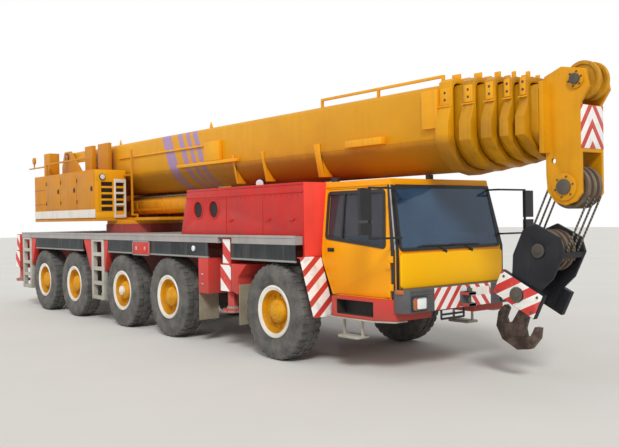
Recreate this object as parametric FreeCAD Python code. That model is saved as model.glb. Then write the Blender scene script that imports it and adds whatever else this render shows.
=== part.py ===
import FreeCAD, Part
import math
import os

# Five-axle mobile crane, parked with its telescopic boom lowered over the cab.
# Millimetres. X forward, Y to the left, Z up from the ground. Inside this file X is
# measured from the front axle; every piece is moved by ORIGIN_SHIFT when it is
# written, so that the origin lies under the middle of the crane's length.

ORIGIN_SHIFT = 3294.5

# Clearances
SEAT = 0.3  # between a piece and what it rests on
RUNNING = 0.05  # radial, between a shaft and its bore
SWING = 8.0  # between pieces that move past each other

DECK_HALF_W = 1375.0  # the carrier's width sets track, cab, houses and outriggers

# Wheels and axles
TYRE_R = 680.0
TYRE_W = 375.0
RIM_R = 360.0
TRACK_HALF = DECK_HALF_W - 205.0  # to the middle of a tyre
WHEEL_SIDES = 18
SPINDLE_SIDES = 8
KINGPIN_SIDES = 8
SPINDLE_R = 55.0
KINGPIN_R = 28.0
KINGPIN_Y = TRACK_HALF - 130.0
AXLE_HALF = 80.0
# axle number, place along X, steered
AXLES = (
    (1, 0.0, True),
    (2, -3000.0, True),
    (3, -4750.0, False),
    (4, -7000.0, True),
    (5, -8670.0, True),
)

# Carrier frame and deck
FRAME_HALF_W = 400.0
FRAME_BOTTOM = 930.0
FRAME_REAR = -10830.0
FRAME_FRONT = 600.0
NOSE_FRONT = 2080.0
NOSE_BOTTOM = 700.0
NOSE_TOP = 949.7
DECK_TOP = 1715.0
DECK_H = 115.0
DECK_REAR = -10000.0
DECK_FRONT = 560.0
SKIRT_BOTTOM = 1385.0
PLATE = 8.0
# rear end, front end of each skirt along X
SKIRTS = ((-9090.0, -6430.0), (-5250.0, -1640.0), (-1000.0, 560.0))
LADDER_W = 560.0
LADDER_BOTTOM = 440.0
LADDER_PITCH = 280.0
LADDER_STEPS = 4
LADDER_DEPTH = 90.0
LADDER_RAIL = 90.0
LADDER_RUNG = 70.0
LADDERS = (-9680.0, -5735.0)  # middle of each ladder along X

# Outriggers: each box holds two beams side by side
FRONT_RIGHT_BEAM = -1160.0
REAR_RIGHT_BEAM = -10340.0
BEAM_W = 280.0
BEAM_H = 400.0
BEAM_BOTTOM = 880.0
BOX_WALL = 20.0
JACK_R = 80.0
JACK_SIDES = 8
JACK_COLUMN = 210.0
JACK_TOP = 1675.0
JACK_FOOT_R = 165.0
JACK_FOOT_Z = 560.0
BEAM_END_Y = DECK_HALF_W - 15.0
JACK_Y = BEAM_END_Y - 125.0

# Engine house
HOUSE_HALF_W = DECK_HALF_W - 125.0
HOUSE_REAR_LOW = -2676.0
HOUSE_REAR_HIGH = -2454.0
HOUSE_FRONT = 600.0
HOUSE_TOP = 2440.0
HOUSE_WALL = 25.0
HOUSE_APRON_BOTTOM = 1420.0
VENTS = ((-2117.0, 2110.0), (-1652.0, 2110.0))
VENT_R = 130.0

# Driver's cab
CAB_REAR = 690.0
CAB_FRONT = 2080.0
CAB_HALF_W = DECK_HALF_W - 355.0
CAB_FLOOR = 950.0
CAB_BELT = 1545.0
CAB_ROOF = 2430.0
CAB_TOP_HALF_W = CAB_HALF_W - 95.0
CAB_TOP_FRONT = 1900.0
CAB_WALL = 45.0
CAB_SLOPE_X = 900.0  # where the cut for the front wheel meets the floor
CAB_SLOPE_TOP = 1400.0
DOOR_REAR = 735.0
DOOR_FRONT = 1985.0
DOOR_GAP = 6.0
BUMPER_FRONT = 2270.0
BUMPER_REAR = 2080.3
BUMPER_HALF_W = DECK_HALF_W - 315.0
BUMPER_BOTTOM = 800.0
BUMPER_TOP = 1080.0
HITCH_BORE_R = 25.0

# Slewing superstructure, with the operator's cab on its left
OP_REAR = -6750.0
OP_FRONT = -5050.0
OP_IN = 620.0  # inner wall of the operator's cab
OP_OUT = DECK_HALF_W - 5.0
OP_TOP = 3480.0
OP_WALL = 40.0
SLEW_X = -6300.0
RING_R = 840.0
RING_TOP = 1890.0
TABLE_Z = 1960.0
TABLE_T = 60.0
BOOM_HALF_W = 500.0
CHEEK_Y = BOOM_HALF_W + 30.0
CHEEK_T = 40.0
TAIL_X = -9550.0
TAIL_HALF_W = DECK_HALF_W - 125.0
HOUSING_FRONT = -6070.0
HOUSING_BOTTOM = 2020.3
HOUSING_TOP = 2990.0
HOUSING_INNER_Y = CHEEK_Y + CHEEK_T + 20.0
HOUSING_W = TAIL_HALF_W - HOUSING_INNER_Y
WEIGHT_FRONT = -8740.0

# Boom: outline of the base section and how each next section steps in
BOOM_H = 1053.0
BOOM_BOTTOM = 2500.0
BOOM_TOP = BOOM_BOTTOM + BOOM_H
BOOM_KINK = BOOM_BOTTOM + 400.0
BOOM_CORNER = 70.0
SECTION_STEP = 30.0
SECTION_WALL = 10.0
SECTION_REAR = -7850.0
# rear face of each section's collar, its length along X
COLLARS = ((2360.0, 200.0), (2700.0, 180.0), (3000.0, 150.0), (3240.0, 120.0), (3430.0, 120.0))
BOOM_PIVOT = (-9150.0, BOOM_TOP - 103.0)
BOOM_PIN_R = 70.0
LUFF_BASE = (-7000.0, 2260.0)
LUFF_EYE = (-2950.0, BOOM_BOTTOM - 210.0)
LUFF_BARREL_R = 185.0
LUFF_ROD_R = 110.0
LUFF_PIN_R = 50.0
HEAD_HALF_W = 220.0
HEAD_REAR = 3640.0
HEAD_FRONT = 4080.0
# place along X, height, radius
UPPER_SHEAVE = (4030.0, BOOM_TOP - 153.0, 215.0)
LOWER_SHEAVE = (3880.0, BOOM_BOTTOM - 250.0, 240.0)
JIB_BORE = (3740.0, BOOM_BOTTOM + 40.0, 30.0)  # for a folding jib's pin
BLOCK_TILT = 26.0
BLOCK_SHEAVE_DROP = 780.0
BLOCK_PIN_DROP = 1340.0

os.makedirs("parts", exist_ok=True)


def vec(x, y, z):
    return FreeCAD.Vector(x, y, z)


def box(xs, ys, zs):
    """A block between two values on each axis."""
    return Part.makeBox(
        xs[1] - xs[0], ys[1] - ys[0], zs[1] - zs[0], vec(xs[0], ys[0], zs[0])
    )


def prism(points, along, start, end):
    """A closed outline extruded along X, Y or Z; its points are the other two coordinates."""
    place = {
        "X": lambda a, b, c: vec(c, a, b),
        "Y": lambda a, b, c: vec(a, c, b),
        "Z": lambda a, b, c: vec(a, b, c),
    }[along]
    corners = [place(a, b, start) for a, b in points]
    face = Part.Face(Part.makePolygon(corners + corners[:1]))
    return face.extrude(place(0, 0, end - start))


def bar(start, end, radius, sides=0):
    """A bar between two points: round, or with flat sides whose corners lie on the radius."""
    a, b = vec(*start), vec(*end)
    if not sides:
        return Part.makeCylinder(radius, (b - a).Length, a, b - a)
    turn = FreeCAD.Rotation(vec(0, 0, 1), b - a)
    corners = []
    for k in range(sides):
        angle = 2 * math.pi * (k + 0.5) / sides
        corners.append(a + turn.multVec(vec(radius * math.cos(angle), radius * math.sin(angle), 0)))
    return Part.Face(Part.makePolygon(corners + corners[:1])).extrude(b - a)


def disc(x, z, radius, ys, sides=0):
    """A plate or shaft across the crane."""
    return bar((x, ys[0], z), (x, ys[1], z), radius, sides)


def bearing(start, end, shaft_r, sides):
    """The hole for a shaft with flat sides: it touches none of its corners at any angle."""
    a, b = vec(*start), vec(*end)
    middle = (a + b) * 0.5
    hole = bar(start, end, (shaft_r + RUNNING) / math.cos(math.pi / sides), sides)
    hole.rotate(middle, b - a, 180.0 / sides)
    return hole


def joined(shapes):
    """Pieces welded into one solid."""
    return shapes[0].multiFuse(shapes[1:]).removeSplitter() if len(shapes) > 1 else shapes[0]


def less(shape, cutters):
    """A solid with openings cut from it."""
    for cutter in cutters:
        shape = shape.cut(cutter)
    return shape


def other_side(shape):
    """The same piece on the crane's other side."""
    return shape.mirror(vec(0, 0, 0), vec(0, 1, 0))


def pair(shape):
    return [shape, other_side(shape)]


def write(name, shapes):
    """One node: its solids, moved to the crane's frame."""
    solids = [s for shape in shapes for s in shape.Solids]
    whole = solids[0] if len(solids) == 1 else Part.makeCompound(solids)
    whole.translate(vec(ORIGIN_SHIFT, 0, 0))
    whole.exportStep("parts/%s.step" % name)


def faceted_ring(profile, sides, middle_y, outboard):
    """A ring of flat facets about the Y axis, from (radius, distance outboard) points."""
    turn = 2 * math.pi / sides
    rows = []
    for k in range(sides):
        a = turn * (k + 0.5) - math.pi / 2
        rows.append(
            [vec(r * math.cos(a), middle_y + outboard * y, r * math.sin(a)) for r, y in profile]
        )
    faces = []
    for k in range(sides):
        here, there = rows[k], rows[(k + 1) % sides]
        for i in range(len(profile)):
            j = (i + 1) % len(profile)
            corners = [here[i], here[j], there[j], there[i]]
            if profile[i][0] == 0 and profile[j][0] == 0:
                continue
            if profile[i][0] == 0:
                corners = [here[i], here[j], there[j]]
            if profile[j][0] == 0:
                corners = [here[i], here[j], there[i]]
            faces.append(Part.Face(Part.makePolygon(corners + corners[:1])))
    ring = Part.makeSolid(Part.makeShell(faces))
    if ring.Volume < 0:
        ring.reverse()
    return ring


# Wheels: a tyre on a steel rim with a dished disc and a hub.
WHEEL_Z = TYRE_R * math.cos(math.pi / WHEEL_SIDES)
HUB_DEPTH = 60.0  # how far the spindle reaches past the tyre's middle
TYRE_PROFILE = (
    (RIM_R + SEAT, 150.0),
    (510.0, TYRE_W / 2),
    (TYRE_R, 125.0),
    (TYRE_R, -125.0),
    (510.0, -TYRE_W / 2),
    (RIM_R + SEAT, -150.0),
)
RIM_PROFILE = (
    (RIM_R, -155.0),
    (RIM_R, 160.0),
    (RIM_R - 50.0, 160.0),
    (RIM_R - 80.0, 60.0),
    (150.0, 90.0),
    (130.0, 180.0),
    (0.0, 180.0),
    (0.0, -60.0),
    (RIM_R - 30.0, -60.0),
    (RIM_R - 30.0, -155.0),
)


def wheel(side):
    """A wheel at the origin; side is -1 for the right, 1 for the left."""
    rim = faceted_ring(RIM_PROFILE, WHEEL_SIDES, 0.0, side)
    bore = bearing((0, side * -70.0, 0), (0, side * (HUB_DEPTH + SEAT), 0), SPINDLE_R, SPINDLE_SIDES)
    return [faceted_ring(TYRE_PROFILE, WHEEL_SIDES, 0.0, side), less(rim, [bore])]


KNUCKLE_HALF_H = 95.0
KNUCKLE_HALF_X = 60.0
KNUCKLE_INNER = 55.0
YOKE_HALF_H = 145.0
# from the kingpin to the yoke's web, clear of the knuckle's corners as it steers
YOKE_REACH = math.hypot(KNUCKLE_HALF_X, KNUCKLE_INNER) + SWING


def knuckle(side):
    """A steering knuckle at the axle's height: kingpin block, kingpin and spindle."""
    y = side * KINGPIN_Y
    ys = sorted((y - side * KNUCKLE_INNER, y + side * 60.0))
    block = box((-KNUCKLE_HALF_X, KNUCKLE_HALF_X), ys, (-KNUCKLE_HALF_H, KNUCKLE_HALF_H))
    pin = bar((0, y, -YOKE_HALF_H), (0, y, YOKE_HALF_H), KINGPIN_R, KINGPIN_SIDES)
    spindle = bar((0, y, 0), (0, side * (TRACK_HALF + HUB_DEPTH), 0), SPINDLE_R, SPINDLE_SIDES)
    return joined([block, pin, spindle])


def axle_beam(x, steered):
    """An axle across the frame with its final drive; a yoke or a spindle at each end."""
    end = KINGPIN_Y - YOKE_REACH if steered else TRACK_HALF - 70.0
    low, high = -AXLE_HALF, AXLE_HALF
    pieces = [box((x - AXLE_HALF, x + AXLE_HALF), (-end, end), (low, high))]
    drive = [
        (-230.0, 0.0), (-120.0, 190.0), (120.0, 190.0), (230.0, 0.0), (120.0, -190.0), (-120.0, -190.0),
    ]
    pieces.append(prism([(x + a, b) for a, b in drive], "Y", -150.0, 150.0))
    for sy in (-300.0, 300.0):
        zs = (0.0, FRAME_BOTTOM - WHEEL_Z - SEAT)
        pieces.append(box((x - AXLE_HALF, x + AXLE_HALF), (sy - 60.0, sy + 60.0), zs))
    for side in (-1, 1):
        if not steered:
            tip = (x, side * (TRACK_HALF + HUB_DEPTH), 0)
            pieces.append(bar((x, side * (end - 10.0), 0), tip, SPINDLE_R, SPINDLE_SIDES))
            continue
        web_ys = sorted((side * (end - 60.0), side * end))
        pieces.append(box((x - AXLE_HALF, x + AXLE_HALF), web_ys, (-YOKE_HALF_H, YOKE_HALF_H)))
        for up in (-1, 1):
            zs = sorted((up * (KNUCKLE_HALF_H + SWING), up * YOKE_HALF_H))
            ys = sorted((side * (end - 10.0), side * (KINGPIN_Y + 45.0)))
            pieces.append(box((x - 50.0, x + 50.0), ys, zs))
    beam = joined(pieces)
    if steered:
        holes = [
            bearing((x, y, -200.0), (x, y, 200.0), KINGPIN_R, KINGPIN_SIDES)
            for y in (-KINGPIN_Y, KINGPIN_Y)
        ]
        beam = less(beam, holes)
    return beam


beams = []
for number, x, steered in AXLES:
    beam = axle_beam(x, steered)
    beam.translate(vec(0, 0, WHEEL_Z))
    beams.append(beam)
    for side, side_name in ((-1, "right"), (1, "left")):
        place = vec(x, 0, WHEEL_Z)
        solids = wheel(side)
        for solid in solids:
            solid.translate(place + vec(0, side * TRACK_HALF, 0))
        write("wheel_%d_%s" % (number, side_name), solids)
        if steered:
            piece = knuckle(side)
            piece.translate(place)
            write("knuckle_%d_%s" % (number, side_name), [piece])
write("axle_beams", beams)


# Outrigger boxes, beams and jacks: a beam rests on its cell's floor and slides outward.
BEAM_PITCH = BEAM_W + 2 * SWING + BOX_WALL
# right beam, left beam
FRONT_BEAMS = (FRONT_RIGHT_BEAM, FRONT_RIGHT_BEAM - BEAM_PITCH)
REAR_BEAMS = (REAR_RIGHT_BEAM, REAR_RIGHT_BEAM - BEAM_PITCH)
BOX_HALF_W = DECK_HALF_W - 265.0
BEAM_TOP = BEAM_BOTTOM + BEAM_H


def cell(x):
    half = BEAM_W / 2 + SWING
    return box((x - half, x + half), (-2000.0, 2000.0), (BEAM_BOTTOM - SEAT, BEAM_TOP + SWING))


def outrigger_box(beams_x):
    low, high = min(beams_x), max(beams_x)
    margin = BEAM_W / 2 + SWING + BOX_WALL
    zs = (BEAM_BOTTOM - SEAT - BOX_WALL, BEAM_TOP + SWING + BOX_WALL)
    return box((low - margin, high + margin), (-BOX_HALF_W, BOX_HALF_W), zs)


def outrigger(beam_x, side):
    """A beam with its jack's column, and the jack with its foot."""
    inner = -side * (BOX_HALF_W - 120.0)
    xs = (beam_x - BEAM_W / 2, beam_x + BEAM_W / 2)
    body = box(xs, sorted((inner, side * BEAM_END_Y)), (BEAM_BOTTOM, BEAM_TOP))
    wall = 18.0
    hollow_ys = sorted((inner - side * 10.0, side * (JACK_Y - JACK_COLUMN / 2 - wall)))
    hollow = box((xs[0] + wall, xs[1] - wall), hollow_ys, (BEAM_BOTTOM + wall, BEAM_TOP - wall))
    half = JACK_COLUMN / 2
    column_ys = sorted((side * (JACK_Y - half), side * (JACK_Y + half)))
    column = box((beam_x - half, beam_x + half), column_ys, (BEAM_TOP - 5.0, JACK_TOP))

    def on_jack(z):
        return (beam_x, side * JACK_Y, z)

    bore = bearing(on_jack(BEAM_BOTTOM - 5.0), on_jack(JACK_TOP - 40.0), JACK_R, JACK_SIDES)
    beam = less(joined([body.cut(hollow), column]), [bore])
    ram = bar(on_jack(JACK_FOOT_Z + 40.0), on_jack(DECK_TOP - DECK_H - 25.0), JACK_R, JACK_SIDES)
    foot = bar(on_jack(JACK_FOOT_Z), on_jack(JACK_FOOT_Z + 60.0), JACK_FOOT_R, JACK_SIDES)
    return beam, joined([ram, foot])


for place_name, beams_x in (("front", FRONT_BEAMS), ("rear", REAR_BEAMS)):
    for side, side_name, beam_x in ((-1, "right", beams_x[0]), (1, "left", beams_x[1])):
        beam, jack = outrigger(beam_x, side)
        write("outrigger_beam_%s_%s" % (place_name, side_name), [beam])
        write("outrigger_jack_%s_%s" % (place_name, side_name), [jack])

# Carrier frame: box girder, outrigger boxes, cab nose, tail and jack slots.
DECK_BOTTOM = DECK_TOP - DECK_H
girder = box(
    (FRAME_REAR + 500.0, FRAME_FRONT), (-FRAME_HALF_W, FRAME_HALF_W), (FRAME_BOTTOM, DECK_BOTTOM)
)
nose = prism(
    [(FRAME_FRONT - 200.0, FRAME_BOTTOM), (FRAME_FRONT - 200.0, 1400.0), (FRAME_FRONT, 1400.0),
     (CAB_SLOPE_X - 60.0, NOSE_TOP), (NOSE_FRONT, NOSE_TOP), (NOSE_FRONT, NOSE_BOTTOM + 60.0),
     (CAB_SLOPE_X, NOSE_BOTTOM)],
    "Y", -FRAME_HALF_W, FRAME_HALF_W,
)
WALKWAY_Y = DECK_HALF_W - 375.0
tail = box((FRAME_REAR, DECK_REAR - 160.0), (-WALKWAY_Y, WALKWAY_Y), (BEAM_BOTTOM - 20.0, DECK_BOTTOM))
CROSS_HALF_W = DECK_HALF_W - 175.0
cross = [
    box((x - 60.0, x + 60.0), (-CROSS_HALF_W, CROSS_HALF_W), (DECK_BOTTOM - 120.0, DECK_BOTTOM))
    for x in (-9350.0, -7835.0, -5900.0, -3875.0, -2300.0, -500.0)
]
frame = joined([girder, nose, tail, outrigger_box(FRONT_BEAMS), outrigger_box(REAR_BEAMS)] + cross)
frame = less(frame, [cell(x) for x in FRONT_BEAMS + REAR_BEAMS])
write("chassis_frame", [frame])

# Deck: a middle plate and side walkways that leave slots for the front jacks' columns.
SLOT_HALF = 190.0
deck_zs = (DECK_BOTTOM + SEAT, DECK_TOP)
deck = [box((DECK_REAR, DECK_FRONT), (-WALKWAY_Y + SEAT, WALKWAY_Y - SEAT), deck_zs)]
for side, beam_x in ((-1, FRONT_BEAMS[0]), (1, FRONT_BEAMS[1])):
    ys = sorted((side * WALKWAY_Y, side * DECK_HALF_W))
    deck.append(box((DECK_REAR, beam_x - SLOT_HALF), ys, deck_zs))
    deck.append(box((beam_x + SLOT_HALF, DECK_FRONT), ys, deck_zs))

# Side skirts hang from the deck's edge between the ladders and the outriggers.
skirt_z = (SKIRT_BOTTOM, DECK_BOTTOM)
skirts = []
for start, end in SKIRTS:
    plate = box((start, end), (-DECK_HALF_W + 5.0, -DECK_HALF_W + 5.0 + PLATE), skirt_z)
    skirts += pair(plate)

# Mud flaps before and behind the front outrigger, each on the red piece that carries it.
BOX_REAR = min(FRONT_BEAMS) - BEAM_W / 2 - SWING - BOX_WALL
BOX_FRONT = max(FRONT_BEAMS) + BEAM_W / 2 + SWING + BOX_WALL
LOCKER_REAR = BOX_REAR - 286.0
FLAP_T = 14.7
flap_ys = (-DECK_HALF_W + 15.0, -WALKWAY_Y - 10.0)
GUSSET_FRONT = -815.0
skirts += pair(box((LOCKER_REAR - SEAT - FLAP_T, LOCKER_REAR - SEAT), flap_ys, (380.0, 860.0)))
skirts += pair(box((GUSSET_FRONT + SEAT, GUSSET_FRONT + SEAT + FLAP_T), flap_ys, (410.0, 1000.0)))
write("deck", deck + skirts)

# Red pieces along the sides: wings beside the ladders, lockers, gussets and step boxes.
WING_BOTTOM = 1000.0
# rear top, front top, rear bottom, front bottom along X
WINGS = (
    (-9395.0, -9095.0, -9395.0, -9350.0),
    (-6425.0, -6020.0, -6090.0, -6020.0),
    (-5450.0, -5255.0, -5450.0, -5420.0),
)
wings = []
for rt, ft, rb, fb in WINGS:
    outline = [(rt, DECK_BOTTOM), (ft, DECK_BOTTOM), (fb, WING_BOTTOM), (rb, WING_BOTTOM)]
    wings += pair(prism(outline, "Y", -DECK_HALF_W + 14.0, -DECK_HALF_W + 14.0 + 120.0))
locker = box((LOCKER_REAR, BOX_REAR - SEAT), (-DECK_HALF_W, -WALKWAY_Y), (810.0, 1360.0))
gusset = prism(
    [(BOX_FRONT + SEAT, 900.0), (BOX_FRONT + SEAT, 1300.0), (-600.0, 1300.0), (GUSSET_FRONT, 1105.0),
     (GUSSET_FRONT, 860.0), (-860.0, 860.0)],
    "Y", -DECK_HALF_W, -WALKWAY_Y,
)
skirt_box = box(
    (-4180.0, -3540.0), (-DECK_HALF_W - 12.0, -DECK_HALF_W + 5.0 - SEAT), (1345.0, DECK_BOTTOM)
)
STEP_BOX_REAR = 1030.0
STEP_BOX_FRONT = 2075.0
STEP_BOX_Z = (690.0, CAB_FLOOR - SEAT)
STEP_Y = -CAB_HALF_W - 135.0  # outer face of the step box
STEP_CORNER_X = STEP_BOX_FRONT - 255.0
STEP_IN_Y = -FRAME_HALF_W - SEAT
step_box = prism(
    [(STEP_BOX_REAR, STEP_Y), (STEP_CORNER_X, STEP_Y), (STEP_BOX_FRONT, -CAB_HALF_W),
     (STEP_BOX_FRONT, STEP_IN_Y), (STEP_BOX_REAR, STEP_IN_Y)],
    "Z", *STEP_BOX_Z,
)
recess_x = (STEP_BOX_REAR + 95.0, STEP_CORNER_X - 10.0)
step_box = less(step_box, [box(recess_x, (STEP_Y - 10.0, STEP_Y + 170.0), (730.0, 915.0))])
write("side_boxes", wings + pair(locker) + pair(gusset) + pair(skirt_box) + pair(step_box))

# Ladders: pressed plates with step openings, and the hanging steps under the cab.
ladders = []
for middle in LADDERS:
    plate = box(
        (middle - LADDER_W / 2, middle + LADDER_W / 2),
        (-DECK_HALF_W, -DECK_HALF_W + LADDER_DEPTH), (LADDER_BOTTOM, DECK_BOTTOM),
    )
    openings = []
    for k in range(LADDER_STEPS):
        low = LADDER_BOTTOM + LADDER_RUNG + k * LADDER_PITCH
        openings.append(
            box((middle - LADDER_W / 2 + LADDER_RAIL, middle + LADDER_W / 2 - LADDER_RAIL),
                (-DECK_HALF_W - 10.0, -DECK_HALF_W + LADDER_DEPTH + 10.0),
                (low, low + LADDER_PITCH - LADDER_RUNG))
        )
    ladders += pair(less(plate, openings))
FLAP_FOOT = (940.0, 670.0)  # lower end of the striped plate behind the cab's steps
tread_zs = (STEP_BOX_Z[0] - 20.0, STEP_BOX_Z[0] - SEAT)
TREAD_Y = STEP_Y - 10.0
step = joined([
    prism(
        [(FLAP_FOOT[0] + SEAT, TREAD_Y), (STEP_CORNER_X, TREAD_Y), (STEP_BOX_FRONT, -CAB_HALF_W - 10.0),
         (STEP_BOX_FRONT, -CAB_HALF_W + 200.0), (FLAP_FOOT[0] + SEAT, -CAB_HALF_W + 200.0)],
        "Z", *tread_zs,
    ),
    box((1160.0, 1180.0), (TREAD_Y + 90.0, TREAD_Y + 130.0), (460.0, tread_zs[0] + 5.0)),
    box((1500.0, 1520.0), (TREAD_Y + 90.0, TREAD_Y + 130.0), (460.0, tread_zs[0] + 5.0)),
    box((1160.0, 1520.0), (TREAD_Y, TREAD_Y + 220.0), (430.0, 465.0)),
])
write("ladders", ladders + pair(step))

# Striped plates slant from the engine house's apron to the cab's steps, behind each front tyre.
flap_plate = prism(
    [(HOUSE_FRONT + SEAT, 1440.0), (672.0, 1440.0), FLAP_FOOT, (FLAP_FOOT[0] - 15.0, FLAP_FOOT[1]),
     (655.0, 1425.0), (HOUSE_FRONT + SEAT, 1425.0)],
    "Y", -DECK_HALF_W, -CAB_HALF_W - SEAT,
)
write("striped_plates", pair(flap_plate))

# Engine house: sloping rear, apron wall in front, vents, and the rest for the boom.
def house_outline(inset):
    slope = HOUSE_REAR_HIGH - HOUSE_REAR_LOW
    return [
        (HOUSE_REAR_LOW + inset, DECK_TOP + SEAT - (inset and 50.0)),
        (HOUSE_REAR_HIGH + inset, HOUSE_TOP - inset),
        (HOUSE_FRONT - inset, HOUSE_TOP - inset),
        (HOUSE_FRONT - inset, DECK_TOP + SEAT - (inset and 50.0)),
    ]


house = prism(house_outline(0.0), "Y", -HOUSE_HALF_W, HOUSE_HALF_W)
hollow = prism(house_outline(HOUSE_WALL), "Y", -HOUSE_HALF_W + HOUSE_WALL, HOUSE_HALF_W - HOUSE_WALL)
apron = box(
    (DECK_FRONT + SEAT, HOUSE_FRONT), (-HOUSE_HALF_W, HOUSE_HALF_W), (HOUSE_APRON_BOTTOM, HOUSE_TOP)
)
frame_gap = box(
    (DECK_FRONT - 10.0, HOUSE_FRONT + 10.0), (-FRAME_HALF_W - 5.0, FRAME_HALF_W + 5.0),
    (HOUSE_APRON_BOTTOM - 10.0, DECK_BOTTOM + 5.0),
)
# a flat rest on the roof, just clear of the boom's belly
rest = box((-120.0, 130.0), (-420.0, 420.0), (HOUSE_TOP + SEAT, BOOM_BOTTOM - 30.0))
vents = [disc(x, z, VENT_R, (-DECK_HALF_W, DECK_HALF_W), 12) for x, z in VENTS]
house = less(joined([house.cut(hollow), apron]), [frame_gap] + vents)
write("engine_house", [house, rest])
ENGINE_X = (-2050.0, -250.0)
ENGINE_HALF_W = 480.0
engine_zs = (DECK_TOP + SEAT, HOUSE_TOP - 110.0)
write("engine", [box(ENGINE_X, (-ENGINE_HALF_W, ENGINE_HALF_W), engine_zs)])

# Driver's cab: a lower body that is cut away for the front wheel, and a tapering top.
def cab_body(inset):
    """The cab's outer form, or the hollow inside it."""
    half, top_half = CAB_HALF_W - inset, CAB_TOP_HALF_W - inset
    rear, front, top_front = CAB_REAR + inset, CAB_FRONT - inset, CAB_TOP_FRONT - inset
    lower = prism(
        [(rear, CAB_SLOPE_TOP), (CAB_SLOPE_X + inset, CAB_FLOOR + inset), (front, CAB_FLOOR + inset),
         (front, CAB_BELT), (rear, CAB_BELT)],
        "Y", -half, half,
    )

    def frame_at(z, w, f):
        corners = [vec(rear, -w, z), vec(f, -w, z), vec(f, w, z), vec(rear, w, z)]
        return Part.makePolygon(corners + corners[:1])
    upper = Part.makeLoft(
        [frame_at(CAB_BELT, half, front), frame_at(CAB_ROOF - inset, top_half, top_front)], True, True
    )
    return joined([lower, upper])


door_outline = [
    (DOOR_REAR, 2330.0), (1865.0, 2330.0), (DOOR_FRONT, CAB_BELT), (DOOR_FRONT, CAB_FLOOR + 10.0),
    (CAB_SLOPE_X + 20.0, CAB_FLOOR + 10.0), (DOOR_REAR, 1360.0),
]
door_window = [
    (DOOR_REAR + 60.0, 2270.0), (1800.0, 2270.0), (1880.0, 1590.0), (DOOR_REAR + 60.0, 1700.0),
]


def right_wall(spare):
    """The cab's right side wall, thicker by a spare amount on both faces."""
    low, high = CAB_FLOOR - 50.0, CAB_ROOF
    outer, top_outer = CAB_HALF_W + spare, CAB_TOP_HALF_W + spare
    inner, top_inner = CAB_HALF_W - CAB_WALL - spare, CAB_TOP_HALF_W - CAB_WALL - spare
    points = [
        (-outer, low), (-outer, CAB_BELT), (-top_outer, high), (-top_inner, high), (-inner, CAB_BELT),
        (-inner, low),
    ]
    return prism(points, "X", CAB_REAR - 50.0, CAB_FRONT + 50.0)


shell = cab_body(0.0).cut(cab_body(CAB_WALL))
THROUGH_WALL = (-CAB_HALF_W - 280.0, -CAB_TOP_HALF_W + 225.0)
cab = less(shell, pair(right_wall(1.0).common(prism(door_outline, "Y", *THROUGH_WALL))))
SCREEN_LOW_Y = CAB_HALF_W - 140.0
SCREEN_TOP_Y = CAB_TOP_HALF_W - 115.0
screen = [
    (-SCREEN_LOW_Y, CAB_BELT + 30.0), (SCREEN_LOW_Y, CAB_BELT + 30.0), (SCREEN_TOP_Y, CAB_ROOF - 90.0),
    (-SCREEN_TOP_Y, CAB_ROOF - 90.0),
]
cab = less(cab, [prism(screen, "X", CAB_TOP_FRONT - 100.0, CAB_FRONT + 50.0)])
HINGE_X = DOOR_FRONT - DOOR_GAP / 2
HINGE_Y = -CAB_HALF_W - 15.0
HINGE_H = 80.0


def hinge_half(x, y, z, arm_x, arm_y):
    """Half of a hinge: a knuckle on the hinge's axis and the leaf that carries it."""
    knuckle_bar = bar((x, y, z), (x, y, z + HINGE_H), 14.0, 8)
    back = -6.0 if arm_y > y else 6.0
    leaf = box(sorted((x, arm_x)), sorted((y + back, arm_y)), (z, z + HINGE_H))
    return knuckle_bar.fuse(leaf)


HINGE_ZS = (1060.0, 1400.0)
cab_halves = [hinge_half(HINGE_X, HINGE_Y, z, HINGE_X + 60.0, -CAB_HALF_W + 5.0) for z in HINGE_ZS]
cab = joined([cab] + [half for one in cab_halves for half in pair(one)])
write("cab_shell", [cab])

# Doors: hinged at their front edges, as thick as the wall.
def inset_outline(points, gap):
    """An outline moved inward by the gap."""
    wire = Part.makePolygon([vec(a, b, 0) for a, b in points + points[:1]])
    small = Part.Face(wire).makeOffset2D(-gap)
    return [(v.Point.x, v.Point.y) for v in small.OuterWire.OrderedVertexes]


door_solid = prism(inset_outline(door_outline, DOOR_GAP), "Y", *THROUGH_WALL)
door_halves = [
    hinge_half(HINGE_X, HINGE_Y, z - HINGE_H - SEAT, HINGE_X - 60.0, -CAB_HALF_W + 5.0) for z in HINGE_ZS
]
pane = prism(door_window, "Y", *THROUGH_WALL)
door = joined([less(right_wall(0.0).common(door_solid), [pane])] + door_halves)
write("door_right", [door])
write("door_left", [other_side(door)])

# Inside the cab: seats and dashboard.
seats = []
CREW_Y = CAB_HALF_W - 500.0
for sy in (-CREW_Y, CREW_Y):
    seat = joined([
        box((1000.0, 1450.0), (sy - 230.0, sy + 230.0), (1250.0, 1390.0)),
        box((940.0, 1060.0), (sy - 220.0, sy + 220.0), (1300.0, 1900.0)),
        box((1080.0, 1380.0), (sy - 130.0, sy + 130.0), (CAB_FLOOR + CAB_WALL + SEAT, 1260.0)),
    ])
    seats.append(seat)
dash_floor = CAB_FLOOR + CAB_WALL + SEAT
dash_front = CAB_FRONT - CAB_WALL - 1.0
dash = prism(
    [(1780.0, dash_floor), (1780.0, 1350.0), (1720.0, 1420.0), (1780.0, 1520.0), (dash_front, 1480.0),
     (dash_front, dash_floor)],
    "Y", -CAB_HALF_W + CAB_WALL + 30.0, CAB_HALF_W - CAB_WALL - 30.0,
)
write("cab_fittings", seats + [dash])

# Outside the cab: two mirrors on each side's bracket, a roof lamp and a beacon.
MIRROR_ROD = (CAB_FRONT + 40.0, -CAB_HALF_W - 455.0)
MIRROR_BAR = 24.0
MIRROR_OUT = MIRROR_ROD[1] - 165.0


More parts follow.
